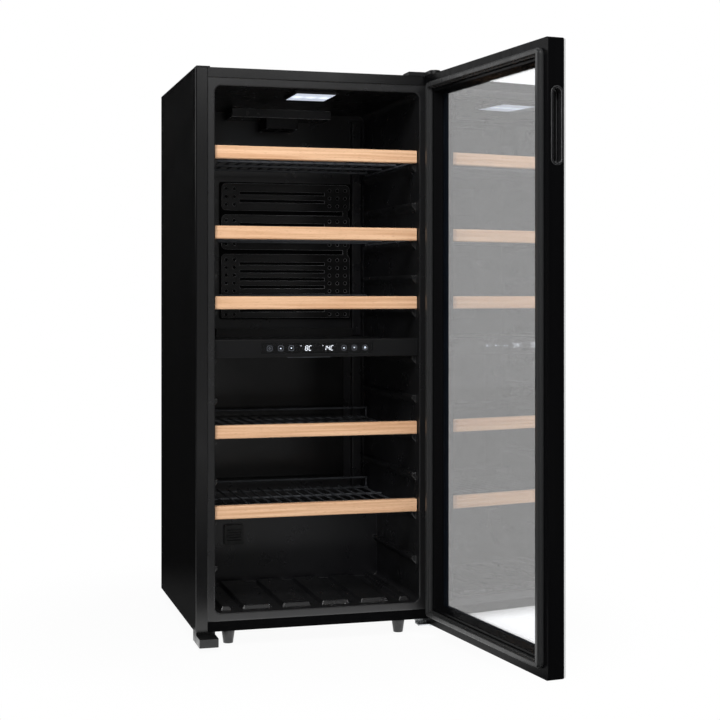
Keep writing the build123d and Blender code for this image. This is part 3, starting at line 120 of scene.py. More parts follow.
# %% [markdown]
# ## The studio
# The product stands on a white sweep that is lit so that it reads as plain white. The world is
# white for the camera and for what is seen through glass. In mirrors it is bright only up and to
# the back left, where the wall behind the set is lit. Behind to the right it is about a quarter as
# bright, so that the zinc of the back shows as metal. Elsewhere it is dark, as a real studio is.
# That dark room is why a black cabinet looks black and not grey.

# %% White sweep and dim room
WHITE = (1, 1, 1, 1)
DIFFUSE_FILL = 0.24
ROOM_GLOSS, WALL_GLOSS, BEHIND_GLOSS = 0.006, 1.65, 0.45
# Where each lit part of the room fades in, from dark to lit, by the direction of a mirrored ray.
WALL_EDGES = {"Y": (0.2, 0.45), "X": (-0.42, -0.5), "Z": (0.04, 0.09)}
BEHIND_EDGES = {"Y": (0.3, 0.6), "X": (0.02, 0.14)}

world = bpy.data.worlds.new("white_studio")
scene.world = world
world.use_nodes = True
sky = world.node_tree
sky.nodes.clear()
ray = add(sky, "LightPath").outputs
way = add(sky, "SeparateXYZ", {"Vector": add(sky, "TexCoord").outputs["Generated"]}).outputs

lit_wall = 1.0
for axis, (dark, lit) in WALL_EDGES.items():
    fade = add(sky, "MapRange", {"Value": way[axis], "From Min": dark, "From Max": lit},
               interpolation_type="SMOOTHSTEP")
    lit_wall = add(sky, "Math", {0: lit_wall, 1: fade}, operation="MULTIPLY")
behind = BEHIND_GLOSS
for axis, (dark, lit) in BEHIND_EDGES.items():
    behind = add(sky, "MapRange", {"Value": way[axis], "From Min": dark, "From Max": lit,
                                   "To Min": ROOM_GLOSS, "To Max": behind})
mirrored = add(sky, "MapRange", {"Value": lit_wall, "To Min": behind, "To Max": WALL_GLOSS})

seen = add(sky, "Math", {0: ray["Is Camera Ray"], 1: ray["Is Transmission Ray"]},
           operation="MAXIMUM")
soft = add(sky, "Mix", {"Factor": ray["Is Glossy Ray"], "A": DIFFUSE_FILL, "B": mirrored})
level = add(sky, "Mix", {"Factor": seen, "A": soft, "B": 1.0})
add(sky, "OutputWorld", {"Surface": add(sky, "Background", {"Color": WHITE, "Strength": level})})
print("world: camera 1.0, diffuse", DIFFUSE_FILL, "room in mirrors", ROOM_GLOSS)

# %% [markdown]
# The floor is matt white paint. Seen straight on it glows at the strength of plain white, and a
# part of it near the feet stays ordinary paint, so that the cooler keeps a faint shadow to stand
# on. In mirrors it lies in bands, as lamps reach some of a studio floor and miss the rest: dark
# under the cabinet, bright just before it, dim farther on, and brighter again far off.

# %% Floor
FLOOR_HALF = 8.0
FLOOR_CELLS = 8
FLOOR_DROP = 0.2 * MM
SHADOW_NEAR, SHADOW_FAR, SHADOW_SHARE = 0.35, 0.9, 0.05
FAR_GLOSS, MIDDLE_GLOSS, DOOR_GLOSS = 0.3, 0.07, 0.15
DOOR_EDGE = (0.3, 0.5)

floor_mesh = bpy.data.meshes.new("floor")
bm = bmesh.new()
bmesh.ops.create_grid(bm, x_segments=FLOOR_CELLS, y_segments=FLOOR_CELLS, size=FLOOR_HALF)
bm.to_mesh(floor_mesh)
bm.free()
floor = bpy.data.objects.new("floor", floor_mesh)
floor.location.z = -FLOOR_DROP
scene.collection.objects.link(floor)

floor_paint = bpy.data.materials.new("matt_white_floor_paint")
floor_paint.use_nodes = True
tree = floor_paint.node_tree
tree.nodes.clear()
ray = add(tree, "LightPath").outputs
spot = add(tree, "TexCoord").outputs["Object"]
place = add(tree, "SeparateXYZ", {"Vector": spot}).outputs
reach = add(tree, "VectorMath", {0: spot}, operation="LENGTH")
shadow = add(tree, "MapRange", {"Value": reach, "From Min": SHADOW_NEAR, "From Max": SHADOW_FAR,
                                "To Min": SHADOW_SHARE, "To Max": 0.0},
             interpolation_type="SMOOTHSTEP")

# Bands of the floor from the far end to the cabinet: where each one ends, where the one beyond it
# has taken over, and how bright it is in a mirror. The bright band dims past the open door.
bright = add(tree, "MapRange", {"Value": place["X"], "From Min": DOOR_EDGE[0],
                                "From Max": DOOR_EDGE[1], "To Min": WALL_GLOSS,
                                "To Max": DOOR_GLOSS})
BANDS = ((-4.5, -FLOOR_HALF, FAR_GLOSS), (-1.3, -2.2, MIDDLE_GLOSS), (-0.5, -0.7, bright),
         (-0.05, -0.2, ROOM_GLOSS))
mirrored = ROOM_GLOSS
for end, beyond, gloss in BANDS:
    mirrored = add(tree, "MapRange", {"Value": place["Y"], "From Min": end, "From Max": beyond,
                                      "To Min": gloss, "To Max": mirrored})

level = add(tree, "Mix", {"Factor": ray["Is Glossy Ray"], "A": 1.0, "B": mirrored})
glow = add(tree, "Emission", {"Color": WHITE, "Strength": level})
paint = add(tree, "BsdfDiffuse", {"Color": colour("#F4F4F4")})
shaded = add(tree, "MixShader", {0: shadow, 1: glow, 2: paint})
seen = add(tree, "Math", {0: ray["Is Camera Ray"], 1: ray["Is Transmission Ray"]},
           operation="MAXIMUM")
shown = add(tree, "Math", {0: seen, 1: ray["Is Glossy Ray"]}, operation="MAXIMUM")
either = add(tree, "MixShader", {0: shown, 1: paint, 2: shaded})
add(tree, "OutputMaterial", {"Surface": either})
floor_mesh.materials.append(floor_paint)
print("floor", 2 * FLOOR_HALF, "m square")

# %% [markdown]
# One large softbox high on the left lights the wood, so the upper shelves are brighter than the
# lower ones. A tall strip beside it lights the edges, and it is kept out of every mirror, so the
# shut door does not show it. The three cards are weak and are there to be mirrored: black parts
# show their shape only by what they reflect, so a photographer sets a card of light where each
# flat face mirrors to.


# %% Softboxes
def softbox(name, place, target, size, power):
    """A rectangular lamp at place, facing target, with its width and height in metres."""
    lamp = bpy.data.lights.new(name, "AREA")
    lamp.shape = "RECTANGLE"
    (lamp.size, lamp.size_y), lamp.energy = size, power
    made = bpy.data.objects.new(name, lamp)
    made.location = place
    made.rotation_euler = (Vector(target) - Vector(place)).to_track_quat("-Z", "Y").to_euler()
    scene.collection.objects.link(made)
    return made


softbox("key_softbox", place=(-0.9, -2.0, 2.5), target=(0, -0.25, 1.0),
        size=(1.2, 0.9), power=53)
strip = softbox("edge_strip", place=(-1.65, -2.6, 1.25), target=(0, -0.3, 0.9),
                size=(0.35, 1.7), power=14)
strip.visible_glossy = False
softbox("flange_card", place=(0.1, -3.25, 0.8), target=(0, -0.25, 0.8),
        size=(0.7, 1.6), power=1.3)
softbox("high_card", place=(0.5, -3.3, 2.0), target=(0, -0.25, 1.2),
        size=(1.1, 0.7), power=3.8)
softbox("streak_card", place=(0.82, -3.3, 1.1), target=(0, 0.2, 0.8),
        size=(0.16, 1.5), power=0.35)

# %% [markdown]
# ## Black finishes
# Nearly all of the cooler is black, and black parts are told apart by their gloss and their skin.
# Paint has orange peel, a mould leaves the grain that was etched into it, and an extruded profile
# has fine lines along its length. Every real edge is a little round too, and that is where a black
# part catches the light. One function gives a surface two near-black tones in soft patches, an
# uneven gloss, a grain and rounded edges. The width of a patch, the width and depth of the grain
# and the radius of an edge are the real ones, in millimetres.

# %% Grained surfaces
BEVEL_SAMPLES = 6
GRAIN_STRENGTH = 0.6


def grained(name, light, dark, patch, gloss, grit, depth, edge=0.6, stretch=(1, 1, 1), **sockets):
    """A finish with patches of two tones, a gloss between two values, a grain and round edges."""
    made, tree, surface = start_finish(name, **sockets)
    spot = add(tree, "TexCoord").outputs["Object"]
    mapped = add(tree, "Mapping", {"Vector": spot, "Scale": [s / MM for s in stretch]})
    blotch = add(tree, "TexNoise", {"Vector": mapped, "Scale": 1 / patch, "Detail": 3.0})
    tone = add(tree, "Mix", {"Factor": blotch, "A": colour(light), "B": colour(dark)},
               data_type="RGBA")
    sheen = add(tree, "MapRange", {"Value": blotch, "From Min": 0.3, "From Max": 0.7,
                                   "To Min": gloss[0], "To Max": gloss[1]})
    skin = add(tree, "TexNoise", {"Vector": mapped, "Scale": 1 / grit, "Detail": 2.0})
    turned = add(tree, "Bevel", {"Radius": edge * MM}, samples=BEVEL_SAMPLES)
    raised = add(tree, "Bump", {"Height": skin, "Distance": depth * MM,
                                "Strength": GRAIN_STRENGTH, "Normal": turned})
    join(surface, {"Base Color": tone, "Roughness": sheen, "Normal": raised})
    return made


def opened(finish):
    """The node tree of a finish, its surface node and the output that colours it."""
    surface = finish.node_tree.nodes["Principled BSDF"]
    return finish.node_tree, surface, surface.inputs["Base Color"].links[0].from_socket


print("edges are rounded with", BEVEL_SAMPLES, "samples")

# %% [markdown]
# The outside comes first. Sheet steel is folded and then coated, while the lengths of the door are
# pushed through a die. Whatever marks the die leaves are drawn out along the length, so the grain
# of an extruded part is stretched: its scale is squeezed along the door's height.

# %% Cabinet and door
# Black powder coat on steel: baked, with a shallow orange peel about 2 mm across.
powder_coat = grained("powder_coated_steel_black", "#0A0A0B", "#060607", patch=60,
                      gloss=(0.17, 0.22), grit=2.2, depth=0.003, edge=1.2, IOR=1.5)
# Door profile: rigid PVC pushed through a die, so its fine lines run up the door.
door_profile = grained("extruded_pvc_profile_black", "#0D0D0E", "#080809", patch=14,
                       gloss=(0.2, 0.28), grit=1.5, depth=0.004, edge=1.5,
                       stretch=(1, 1, 0.02), IOR=1.53, Specular_IOR_Level=0.03)
# Soft PVC gasket: extruded, satin, with a bloom of plasticiser that greys it in patches.
gasket_vinyl = grained("extruded_soft_vinyl_black", "#353536", "#292A2A", patch=22,
                       gloss=(0.24, 0.32), grit=1.2, depth=0.005, edge=3.0,
                       stretch=(1, 1, 0.05), IOR=1.52, Specular_IOR_Level=0.2)
# Spacer between the panes: a warm-edge bar of filled polymer, blue-black and dull.
spacer_polymer = grained("warm_edge_polymer_bar", "#182534", "#101B28", patch=40,
                         gloss=(0.5, 0.6), grit=1.0, depth=0.01, IOR=1.5, Specular_IOR_Level=0.2)
# Bottom pan: steel with a chalky primer only, as it faces the floor, so it hardly shines.
primer = grained("chalky_primer_on_steel_black", "#0C0C0D", "#070708", patch=25,
                 gloss=(0.7, 0.85), grit=0.8, depth=0.03, IOR=1.5, Specular_IOR_Level=0.02)
print("cabinet and door:", powder_coat.name, door_profile.name, gasket_vinyl.name)

# %% [markdown]
# The liner is one warm sheet that is drawn into a mould by vacuum. Deeper into the cabinet its
# grey-black patches are blended into one even, slightly blue near-black. This is painted shade
# where less light reaches, so the tone follows the depth.

# %% Liner
# Painted shade: from the mouth at this y, the liner's tone is blended over this depth to one even
# near-black.
MOUTH, SHADE_DEPTH = -210 * MM, 300 * MM

# High-impact polystyrene drawn into a mould by vacuum: satin, with a fine leather grain.
liner_plastic = grained("vacuum_formed_polystyrene_black", "#1C1C1D", "#131314", patch=35,
                        gloss=(0.26, 0.34), grit=1.4, depth=0.006, edge=4.0, IOR=1.59)
tree, surface, tone = opened(liner_plastic)
place = add(tree, "SeparateXYZ", {"Vector": add(tree, "TexCoord").outputs["Object"]}).outputs
# Painted shade deeper into the cabinet: the liner's patches are blended towards an even
# near-black.
mapped = add(tree, "MapRange", {"Value": place["Y"], "From Min": MOUTH, "From Max": MOUTH + SHADE_DEPTH})
black = add(tree, "Mix", {"Factor": mapped, "A": tone, "B": colour("#17171A")}, data_type="RGBA")
join(surface, {"Base Color": black})
print("liner tone settles", round((MOUTH + SHADE_DEPTH) / MM), "mm along y")

# %% [markdown]
# Moulded parts copy the skin of their mould, and dipped parts hide what is under a thick coat. So
# a moulded grain is fine and a dipped one is broad.

# %% Small parts
# ABS from an etched mould: the satin black of the control fascia.
fascia_abs = grained("moulded_abs_satin_black", "#111112", "#0E0E0F", patch=30,
                     gloss=(0.42, 0.5), grit=1.0, depth=0.006, edge=1.0,
                     IOR=1.54, Specular_IOR_Level=0.25)
# Polypropylene and ABS small parts: a deeper spark-eroded grain that looks dry.
dark_plastic = grained("moulded_polypropylene_black", "#131314", "#0B0B0C", patch=18,
                       gloss=(0.32, 0.44), grit=0.9, depth=0.02, IOR=1.5)
# Glass-filled nylon feet: hard, and slightly mottled by the fibres at the skin.
foot_nylon = grained("glass_filled_nylon_black", "#1E1F20", "#111213", patch=6,
                     gloss=(0.38, 0.55), grit=0.7, depth=0.05, IOR=1.53)
# Moulded EPDM rubber: dull, with a powdery surface.
rubber = grained("moulded_epdm_rubber", "#222324", "#161718", patch=8,
                 gloss=(0.65, 0.8), grit=0.8, depth=0.05, IOR=1.5)
# Compressor shell: deep-drawn steel in thick gloss enamel, dipped, so it is smooth and wavy.
enamel = grained("dipped_gloss_enamel_black", "#121315", "#0A0B0C", patch=45,
                 gloss=(0.16, 0.26), grit=9.0, depth=0.12, IOR=1.52)
# Rack wire: steel rod dipped in polyethylene powder, a thick soft gloss that rounds every weld.
# Its grey-black is partly the coat's own colour and partly a painted sheen for the wires'
# highlights.
coated_wire = grained("polyethylene_dipped_wire_grey_black", "#55575B", "#404246", patch=12,
                      gloss=(0.14, 0.2), grit=3.0, depth=0.02, IOR=1.51)
print("small parts:", fascia_abs.name, dark_plastic.name, foot_nylon.name, coated_wire.name)

# %% [markdown]
# The handle cup and the fan hood are ABS with a satin face, a shade lighter than the parts round
# them. Their edges are painted a paler tone, a painted highlight where the rounded edges catch the
# light. An edge is found where the rounded face turns away from the flat one, so the painted
# highlight follows the shape by itself.

# %% Painted edge highlights
EDGE_HIGHLIGHT_RADIUS = 2.5
FLAT_TURN = 0.99


def edges_of(tree, radius, full_turn):
    """0 on a flat face, 1 where the cosine between rounded and flat face is down to full_turn."""
    turned = add(tree, "Bevel", {"Radius": radius}, samples=BEVEL_SAMPLES)
    flat = add(tree, "NewGeometry").outputs["Normal"]
    turn = add(tree, "VectorMath", {0: turned, 1: flat}, operation="DOT_PRODUCT")
    return add(tree, "MapRange", {"Value": turn, "From Min": FLAT_TURN, "From Max": full_turn})


def abs_with_painted_edge_highlight(name, light, dark, highlight):
    """Satin ABS of two tones whose edges are painted a third tone, as a painted highlight."""
    made = grained(name, light, dark, patch=20, gloss=(0.2, 0.28), grit=1.0, depth=0.006,
                   edge=EDGE_HIGHLIGHT_RADIUS, IOR=1.54)
    tree, surface, tone = opened(made)
    edges = edges_of(tree, EDGE_HIGHLIGHT_RADIUS * MM, full_turn=0.75)
    # Painted highlight: the edge mask mixes the paler chip into the tone along the edges.
    painted_edge_highlight = add(tree, "Mix", {"Factor": edges, "A": tone, "B": colour(highlight)}, data_type="RGBA")
    join(surface, {"Base Color": painted_edge_highlight})
    return made


# Satin ABS, black for the handle cup and grey for the fan hood, each with a painted highlight on
# its edges.
handle_abs = abs_with_painted_edge_highlight("moulded_abs_black_painted_edge_highlight", "#1E1E1F", "#171718", "#6C6C6E")
hood_abs = abs_with_painted_edge_highlight("moulded_abs_grey_painted_edge_highlight", "#3A3A3C", "#2C2C2E", "#C4C4C6")
print("rubbed edges:", handle_abs.name, hood_abs.name)

# %% [markdown]
# The cooling plates are two bonded aluminium sheets under a thin baked epoxy. The upper one has
# channels that were blown up between its sheets. Its colour carries painted light: a pale painted
# highlight along the channels' edges, and painted shade, deep black, in the low parts between
# them, where its gloss is also turned down.

# %% Cooling plates
CHANNEL_RISE = 2 * MM
# Depths behind the plate's front over which the painted shade of the low parts comes in.
RECESS_SHADE_START, RECESS_SHADE_END = 0.1 * CHANNEL_RISE, 0.9 * CHANNEL_RISE
WEAR_PATCHES = 100 / 3  # in the plate's length
EPOXY = dict(light="#0C0C0D", dark="#070708", patch=40, gloss=(0.16, 0.22), grit=1.8, depth=0.002,
             edge=1.6, IOR=1.55)

# Baked epoxy on aluminium: thin and even, with hardly any peel.
epoxy_coat = grained("baked_epoxy_on_aluminium_black", **EPOXY)
# The same epoxy, with a painted highlight on the channels' edges and painted shade between them.
epoxy_with_painted_light = grained("epoxy_on_blown_plate_painted_shade_and_highlight", **EPOXY)
tree, surface, _ = opened(epoxy_with_painted_light)
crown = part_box("upper_evaporator")[0].y
place = add(tree, "SeparateXYZ", {"Vector": add(tree, "TexCoord").outputs["Object"]}).outputs
# Painted shade: parts deeper than the channels' crowns are painted near black and lose most of
# their gloss.
low = add(tree, "MapRange", {"Value": place["Y"], "From Min": crown + RECESS_SHADE_START,
                             "From Max": crown + RECESS_SHADE_END})
wear = add(tree, "TexNoise", {"Scale": WEAR_PATCHES, "Detail": 2.0})
thin = add(tree, "Mix", {"Factor": wear, "A": colour("#1A1A1B"), "B": colour("#121213")},
           data_type="RGBA")
# Painted highlight: a pale grey along the channels' edges, where the rounded face turns from the
# flat one.
edge_highlight_mask = edges_of(tree, CHANNEL_RISE, full_turn=0.8)
edge_highlit_tone = add(tree, "Mix", {"Factor": edge_highlight_mask, "A": thin, "B": colour("#A0A0A2")}, data_type="RGBA")
painted_light_tone = add(tree, "Mix", {"Factor": low, "A": edge_highlit_tone, "B": colour("#040405")}, data_type="RGBA")
shine = add(tree, "MapRange", {"Value": low, "To Min": 0.45, "To Max": 0.05})
join(surface, {"Base Color": painted_light_tone, "Specular IOR Level": shine})
print("cooling plates:", epoxy_coat.name, epoxy_with_painted_light.name)

# %% [markdown]
# ## Beech shelf fronts
# Beech is a pale pinkish-tan wood with straight, quiet growth bands and short dark flecks where
# the rays of the trunk are cut. The boards are planed along the grain, so both run along the
# shelf. The flecks are really 2 to 3 mm long and too fine for this picture, so they are drawn four
# times longer.

# %% Beech
BAND = Vector((240, 14, 5.5)) * MM  # length, depth and height
FLECK = Vector((11, 3, 1.1)) * MM

# Beech, planed and sealed with a thin lacquer that leaves the pores open.
beech, tree, surface = start_finish("planed_lacquered_beech", IOR=1.5)
spot = add(tree, "TexCoord").outputs["Object"]
along = add(tree, "Mapping", {"Vector": spot, "Scale": [1 / size for size in BAND]})
bands = add(tree, "TexNoise", {"Vector": along, "Scale": 1.0, "Detail": 4.0, "Distortion": 0.3})
tone = add(tree, "ValToRGB", {"Fac": bands})
for stop, position, chip in zip(tone.color_ramp.elements, (0.3, 0.68), ("#D3A077", "#F0C6A0")):
    stop.position, stop.color = position, colour(chip)
short = add(tree, "Mapping", {"Vector": spot, "Scale": [1 / size for size in FLECK]})
flecks = add(tree, "TexNoise", {"Vector": short, "Scale": 1.0, "Detail": 1.0})
cut = add(tree, "MapRange", {"Value": flecks, "From Min": 0.6, "From Max": 0.72,
                             "To Min": 0.0, "To Max": 0.45})
wood = add(tree, "Mix", {"Factor": cut, "A": tone, "B": colour("#B9865C")}, data_type="RGBA")
dull = add(tree, "MapRange", {"Value": bands, "From Min": 0.3, "From Max": 0.7,
                              "To Min": 0.5, "To Max": 0.4})
pores = add(tree, "Bump", {"Height": flecks, "Distance": 0.03 * MM, "Strength": 0.5})
join(surface, {"Base Color": wood, "Roughness": dull, "Normal": pores})
print("beech bands", round(BAND.z / MM, 1), "mm apart")

# %% [markdown]
# ## Metals
# Galvanised sheet shows the crystals that the zinc froze into, a few millimetres across, each
# turned its own way. Zinc-plated brackets are finer and brighter, and the copper of the drier is
# drawn tube that has gone brown in patches. A metal's colour is its reflection, so it keeps the
# default IOR.


# %% Sheet, plating and copper
def metal(name, bright, dull, cell, gloss):
    """A metal whose tone and gloss change from one patch of cell millimetres to the next."""
    made, tree, surface = start_finish(name, Metallic=1.0)
    spot = add(tree, "TexCoord").outputs["Object"]
    crystal = add(tree, "TexVoronoi", {"Vector": spot, "Scale": 1 / (cell * MM)}).outputs["Color"]
    patch = add(tree, "SeparateColor", {"Color": crystal})
    tone = add(tree, "Mix", {"Factor": patch, "A": colour(bright), "B": colour(dull)},
               data_type="RGBA")
    sheen = add(tree, "MapRange", {"Value": patch, "To Min": gloss[0], "To Max": gloss[1]})
    join(surface, {"Base Color": tone, "Roughness": sheen})
    return made


# Sheet dipped in molten zinc, brackets plated in a zinc bath, and tarnished copper tube.
galvanised = metal("hot_dip_galvanised_sheet", "#B4B8BB", "#93989C", cell=9, gloss=(0.32, 0.5))
plated = metal("zinc_plated_steel", "#D2D4D6", "#BFC2C5", cell=2.5, gloss=(0.22, 0.32))
copper = metal("drawn_copper_tarnished", "#C98A68", "#9A5F43", cell=14, gloss=(0.25, 0.45))
print("metals:", galvanised.name, plated.name, copper.name)

# %% [markdown]
# ## Glass and acrylic
# The door is a sealed double pane. The inner pane carries a thin sputtered metal film that keeps
# the cold in, so it mirrors about as much of the light as it lets through. A film like that is a
# metal too thin to be opaque: a metallic surface that covers only a part of each face. The outer
# pane is grey tinted float glass, done the same way with less cover and a darker, weaker mirror.
# Both slabs have two faces, so each face carries half of the work. Float glass is never quite
# even, and its soft waves change the tone and the haze a little.

# %% Panes and window
FILM_COVER, TINT_COVER = 0.36, 0.204
WAVE_LENGTH = 90 * MM


def pane(name, light, dark, cover, haze):
    """Glass whose faces mirror in two close tones over a share of them, with a faint haze."""
    made, tree, surface = start_finish(name, Metallic=1.0, Alpha=cover)
    spot = add(tree, "TexCoord").outputs["Object"]
    wave = add(tree, "TexNoise", {"Vector": spot, "Scale": 1 / WAVE_LENGTH, "Detail": 1.0})
    hue = add(tree, "Mix", {"Factor": wave, "A": colour(light), "B": colour(dark)},
              data_type="RGBA")
    blur = add(tree, "MapRange", {"Value": wave, "To Min": haze[0], "To Max": haze[1]})
    join(surface, {"Base Color": hue, "Roughness": blur})
    return made


# Inner pane with its sputtered film, and outer pane of glass tinted in the melt.
film_glass = pane("sputtered_film_on_float_glass", "#EBECEE", "#EEEFF1", cover=FILM_COVER,
                  haze=(0.0, 0.015))
tinted_glass = pane("grey_tinted_float_glass", "#878A8D", "#8B8E91", cover=TINT_COVER,
                    haze=(0.01, 0.01))
# Smoked cast acrylic: dark enough to hide the board, clear enough for lit segments to show.
smoked = grained("cast_smoked_acrylic", "#151516", "#121213", patch=40, gloss=(0.42, 0.5), grit=12,
                 depth=0.004, edge=0.2, IOR=1.49, Alpha=0.6, Specular_IOR_Level=0.41)
print("both panes let through", round(((1 - FILM_COVER) * (1 - TINT_COVER)) ** 2, 2))

# %% [markdown]
# ## Lamps, display and board
# Behind the ceiling lens sit three white light-emitting diodes on a strip. The lens is frosted
# polycarbonate, so each one shows as a soft bright spot. The distance to the nearest diode is
# found by folding the lens's length back on itself once per diode.


# %% Lit lenses
def lit_lens(name, node, shade, pitch, spread, low, high):
    """Frosted lens over diodes pitch mm apart, whose glow falls from high to low in spread mm."""
    made, tree, surface = start_finish(name, IOR=1.58, Roughness=0.35, Base_Color=colour(shade),
                                       Emission_Color=colour("#E4EEFF"))
    low_corner, high_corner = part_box(node)
    middle = (low_corner + high_corner) / 2
    off = add(tree, "VectorMath", {0: add(tree, "TexCoord").outputs["Object"], 1: middle},
              operation="SUBTRACT")
    way = add(tree, "SeparateXYZ", {"Vector": off}).outputs
    fold = add(tree, "Math", {0: way["X"], 1: pitch / 2 * MM}, operation="PINGPONG")
    flat = add(tree, "CombineXYZ", {"X": fold, "Y": way["Y"]})
    far = add(tree, "VectorMath", {0: flat}, operation="LENGTH")
    power = add(tree, "MapRange", {"Value": far, "From Min": 0.0, "From Max": spread * MM,
                                   "To Min": high, "To Max": low},
                interpolation_type="SMOOTHSTEP")
    join(surface, {"Emission Strength": power})
    return made


# Frosted polycarbonate: bright in the ceiling, and a dark lens in the divider that is nearly off.
ceiling_lens = lit_lens("frosted_polycarbonate_lit", "lamp_lens", "#DCE3EA", pitch=30, spread=22,
                        low=0.65, high=1.5)
low_lens = lit_lens("frosted_polycarbonate_dim", "lower_lamp_lens", "#2E3136", pitch=60, spread=40,
                    low=0.005, high=0.06)
print("lenses:", ceiling_lens.name, low_lens.name)

# %% [markdown]
# Three things are hidden in the finished cooler, and seen only if it is taken apart: the display
# blocks and the board behind the window, and the foam in the walls.

# %% Displays, board and foam
TRACK_PITCH = 8 * MM

# Cast epoxy display blocks: matt black face round the segments.
display_epoxy = grained("cast_epoxy_display_black", "#101012", "#0A0A0B", patch=5,
                        gloss=(0.5, 0.6), grit=0.6, depth=0.01, IOR=1.55)
# Blown polyurethane foam: pale yellow, with cells that are drawn larger than they are to show.
foam = grained("blown_polyurethane_foam", "#E6D6A4", "#D2BD84", patch=14, gloss=(0.8, 0.95),
               grit=2.0, depth=0.4, IOR=1.5)
# Glass-epoxy board under green solder mask: copper tracks show as paler green lines.
solder_mask, tree, surface = start_finish("solder_masked_glass_epoxy", IOR=1.55, Roughness=0.3)
upright = add(tree, "VectorRotate", {"Vector": add(tree, "TexCoord").outputs["Object"],
                                     "Angle": pi / 2}, rotation_type="X_AXIS")
tracks = add(tree, "TexBrick", {"Vector": upright, "Color1": colour("#14532F"),
                                "Color2": colour("#175C35"), "Mortar": colour("#2F8A55"),
                                "Scale": 1 / TRACK_PITCH, "Mortar Size": 0.03})
join(surface, {"Base Color": tracks})
print("behind the window:", display_epoxy.name, solder_mask.name, "and in the walls:", foam.name)

# %% [markdown]
# ## Dress the solids
# The record says which finish slot each solid has. A solid keeps its shape and only its surface is
# set, one finish per slot, with six solids that differ from the rest of their slot.

# %% Give every solid its finish
FINISH_OF_SLOT = {
    "cabinet_paint": powder_coat, "zinc_sheet": galvanised, "liner_plastic": liner_plastic,
    "foam": foam, "lamp_lens": ceiling_lens, "fascia_plastic": fascia_abs,
    "window_acrylic": smoked, "display": display_epoxy, "circuit_board": solder_mask,
    "dark_plastic": dark_plastic, "evaporator_plate": epoxy_coat, "foot_plastic": foot_nylon,
    "compressor_paint": enamel, "rubber": rubber, "copper": copper, "plated_steel": plated,
    "door_plastic": door_profile, "door_glass": tinted_glass, "spacer_bar": spacer_polymer,
    "gasket_rubber": gasket_vinyl, "beech": beech, "rack_wire": coated_wire,
}
FINISH_OF_NODE = {"inner_glass": film_glass, "lower_lamp_lens": low_lens, "bottom_panel": primer,
                  "upper_evaporator": epoxy_with_painted_light, "handle_cup": handle_abs,
                  "fan_hood": hood_abs}

for entry in frame["record"]["subparts"]:
    solid = frame["nodes"][entry["node"]]
    solid.data.materials.clear()
    solid.data.materials.append(FINISH_OF_NODE.get(entry["node"],
                                                   FINISH_OF_SLOT[entry["material_slot"]]))

# %% [markdown]
# ## Panel readouts
# The small things on the panel are flat shapes with a little thickness. One function raises a tile
# from an outline, one draws the outline of a bar with pointed ends, and one makes a finished mesh
# into a piece of the cabinet.


# %% Tiles, bars and pieces
def tile(bm, outline, face, rise):
    """Adds a thin raised tile on an upright face at depth face; outline is (x, z) in metres."""
    front = [bm.verts.new((x, face - rise, z)) for x, z in outline]
    back = [bm.verts.new((x, face, z)) for x, z in outline]
    bm.faces.new(front)
    bm.faces.new(back[::-1])
    for i in range(len(outline)):
        j = (i + 1) % len(outline)
        bm.faces.new((back[i], back[j], front[j], front[i]))


def bar(start, end, width, point):
    """Outline of a bar from start to end, pulled to a point at each end."""
    start, end = Vector(start), Vector(end)
    run = (end - start).normalized()
    side = Vector((-run.y, run.x)) * width / 2
    tip = run * point
    return [start, start + tip + side, end - tip + side, end, end - tip - side, start + tip - side]


def piece(name, bm, finish, body):
    """Closes a mesh into a named piece with a finish, riding on a body."""
    bmesh.ops.recalc_face_normals(bm, faces=bm.faces)
    mesh = bpy.data.meshes.new(name)
    bm.to_mesh(mesh)
    bm.free()
    mesh.materials.append(finish)
    made = bpy.data.objects.new(name, mesh)
    scene.collection.objects.link(made)
    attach(made, body)
    return made


print("a bar has", len(bar((0, 0), (0, 1), width=0.2, point=0.1)), "corners")

# %% [markdown]
# Each display shows a temperature with seven-segment figures that lean to the right. A segment is
# a bar, and a table of letters says which are lit. The lit bars lie on the display blocks, behind
# the smoked window, with a dot at the upper left of each readout.

# %% Lit figures
SEGMENTS = {"a": (0, 2, 1, 2), "b": (1, 1, 1, 2), "c": (1, 0, 1, 1), "d": (0, 0, 1, 0),
            "e": (0, 0, 0, 1), "f": (0, 1, 0, 2), "g": (0, 1, 1, 1)}
LIT = {"8": "abcdefg", "1": "bc", "4": "bcfg", "C": "adef"}
FIGURE_WIDTH, FIGURE_HEIGHT, FIGURE_PITCH = 5.2 * MM, 10.0 * MM, 8.2 * MM
SEGMENT_WIDTH, SEGMENT_TRIM, LEAN, LIT_RISE = 1.3 * MM, 0.25 * MM, 0.16, 0.2 * MM
READOUT_X, SEGMENT_MOTTLE = 24.5 * MM, 2 * MM
DOT_SHIFT, DOT_RADIUS, DOT_SIDES = 12.6 * MM, 0.9 * MM, 12

# Diode segments filled with clear resin: white, lit from below and a little uneven.
lit_segment, tree, surface = start_finish("lit_white_diode_segment", IOR=1.55, Roughness=0.4,
                                          Emission_Color=colour("#F2F6FF"), Emission_Strength=9.0)
blot = add(tree, "TexNoise", {"Vector": add(tree, "TexCoord").outputs["Object"],
                              "Scale": 1 / SEGMENT_MOTTLE})
hue = add(tree, "Mix", {"Factor": blot, "A": colour("#E8ECF2"), "B": colour("#F6F8FC")},
          data_type="RGBA")
join(surface, {"Base Color": hue})

